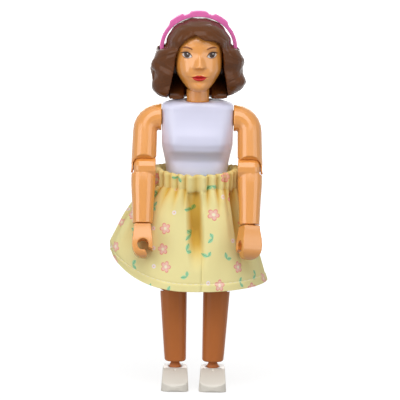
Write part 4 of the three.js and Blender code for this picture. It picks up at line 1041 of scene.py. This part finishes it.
def make_floor():
    mesh = bpy.data.meshes.new("floor")
    reach = 3.0
    mesh.from_pydata([(-reach, -reach, 0), (reach, -reach, 0), (reach, reach, 0), (-reach, reach, 0)],
                     [], [(0, 1, 2, 3)])
    floor = linked("floor", mesh)
    # Paper: an even pale grey with fine fibres that takes soft shadows and has no gloss
    material, tree, principled = shader("pale_paper")
    place = add(tree, "ShaderNodeTexCoord").outputs["Object"]
    fibre_width = 1.5 * MM
    fibre = add(tree, "ShaderNodeTexNoise", {"Vector": place, "Scale": 1 / fibre_width})
    tone = add(tree, "ShaderNodeMix", {"Factor": fibre.outputs["Fac"], "A": linear("8C8C8C"),
                                       "B": linear("929292")}, data_type="RGBA")
    seen = background_rays(tree)
    # Far from the doll the paper fades to the white of the background
    reach_from = add(tree, "ShaderNodeVectorMath", {0: place}, operation="LENGTH")
    fade = add(tree, "ShaderNodeMapRange", {"Value": reach_from.outputs["Value"], "From Min": 0.06,
                                            "From Max": 0.3, "To Min": 0.76, "To Max": 1.0},
               interpolation_type="SMOOTHSTEP")
    glow = add(tree, "ShaderNodeMath", {0: seen, 1: fade.outputs["Result"]}, operation="MULTIPLY")
    feed(tree, principled, {"Base Color": tone.outputs["Result"], "Roughness": 0.9,
                            "Emission Color": (1, 1, 1, 1), "Emission Strength": glow.outputs[0]})
    mesh.materials.append(material)


def aimed(name, data, focus, azimuth, elevation, distance):
    """Sets a lamp or the camera at a distance from a point and turns it there; the angles are in degrees."""
    obj = linked(name, data)
    a, e = math.radians(azimuth), math.radians(elevation)
    away = Vector((math.sin(a) * math.cos(e), -math.cos(a) * math.cos(e), math.sin(e)))
    obj.location = focus + away * distance
    obj.rotation_mode = "QUATERNION"
    obj.rotation_quaternion = away.to_track_quat("Z", "Y")
    return obj


def make_lights():
    world = bpy.data.worlds.new("studio")
    bpy.context.scene.world = world
    world.use_nodes = True
    tree = world.node_tree
    level = add(tree, "ShaderNodeMapRange", {"Value": background_rays(tree), "To Min": 0.16, "To Max": 1.0})
    feed(tree, tree.nodes["Background"], {"Color": (1, 1, 1, 1), "Strength": level.outputs["Result"]})
    focus = Vector((JAW.x, JAW.y, 0.055))
    # Azimuth and elevation in degrees, distance, width and height in metres, and power
    boxes = (("left_box", -50, 14, 0.5, 0.32, 0.38, 1.0), ("right_box", 50, 14, 0.5, 0.32, 0.38, 0.66),
             ("top_box", 0, 58, 0.6, 0.5, 0.5, 2.2), ("back_box", 180, 14, 0.6, 0.5, 0.4, 1.4))
    for name, azimuth, elevation, distance, width, height, power in boxes:
        lamp = bpy.data.lights.new(name, "AREA")
        lamp.shape = "RECTANGLE"
        lamp.size, lamp.size_y, lamp.energy = width, height, power
        aimed(name, lamp, focus, azimuth, elevation, distance)


def make_camera():
    elevation, roll = 11, 0.85
    shown_width = 109.3 * MM
    distance = size_mm("camera_distance") * MM
    focus = Vector((JAW.x + 1.0 * MM, JAW.y, 52.06 * MM))
    camera = bpy.data.cameras.new("camera")
    camera.sensor_width = 36
    camera.lens = camera.sensor_width * distance / shown_width
    camera.clip_start = 0.01
    obj = aimed("camera", camera, focus, 0, elevation, distance)
    rolled = Matrix.Rotation(math.radians(roll), 3, "Z").to_quaternion()
    obj.rotation_quaternion = obj.rotation_quaternion @ rolled
    bpy.context.scene.camera = obj


class DOLL_PT_panel(bpy.types.Panel):
    """Lists the doll's operators and settings"""
    bl_idname = "DOLL_PT_panel"
    bl_label = "Miniature Doll"
    bl_space_type = "VIEW_3D"
    bl_region_type = "UI"
    bl_category = "Doll"

    def draw(self, context):
        doll = context.scene.doll
        for operator in OPERATORS:
            self.layout.operator(operator.bl_idname)
        for group in (doll.colours, doll.sizes):
            box = self.layout.box()
            for name in group.__annotations__:
                box.prop(group, name)
        self.layout.prop(doll, "gathers")


OPERATORS = (DOLL_OT_torso, DOLL_OT_arms, DOLL_OT_legs, DOLL_OT_shoes, DOLL_OT_head, DOLL_OT_hair,
             DOLL_OT_headband, DOLL_OT_skirt, DOLL_OT_waistband, DOLL_OT_stage)
CLASSES = (DollColours, DollSizes, DollSettings, *OPERATORS, DOLL_PT_panel)


def register():
    for cls in CLASSES:
        bpy.utils.register_class(cls)
    bpy.types.Scene.doll = PointerProperty(type=DollSettings)


def unregister():
    del bpy.types.Scene.doll
    for cls in reversed(CLASSES):
        bpy.utils.unregister_class(cls)


def main():
    register()
    for operator in OPERATORS:
        group, name = operator.bl_idname.split(".")
        getattr(getattr(bpy.ops, group), name)()


if __name__ == "__main__":
    main()
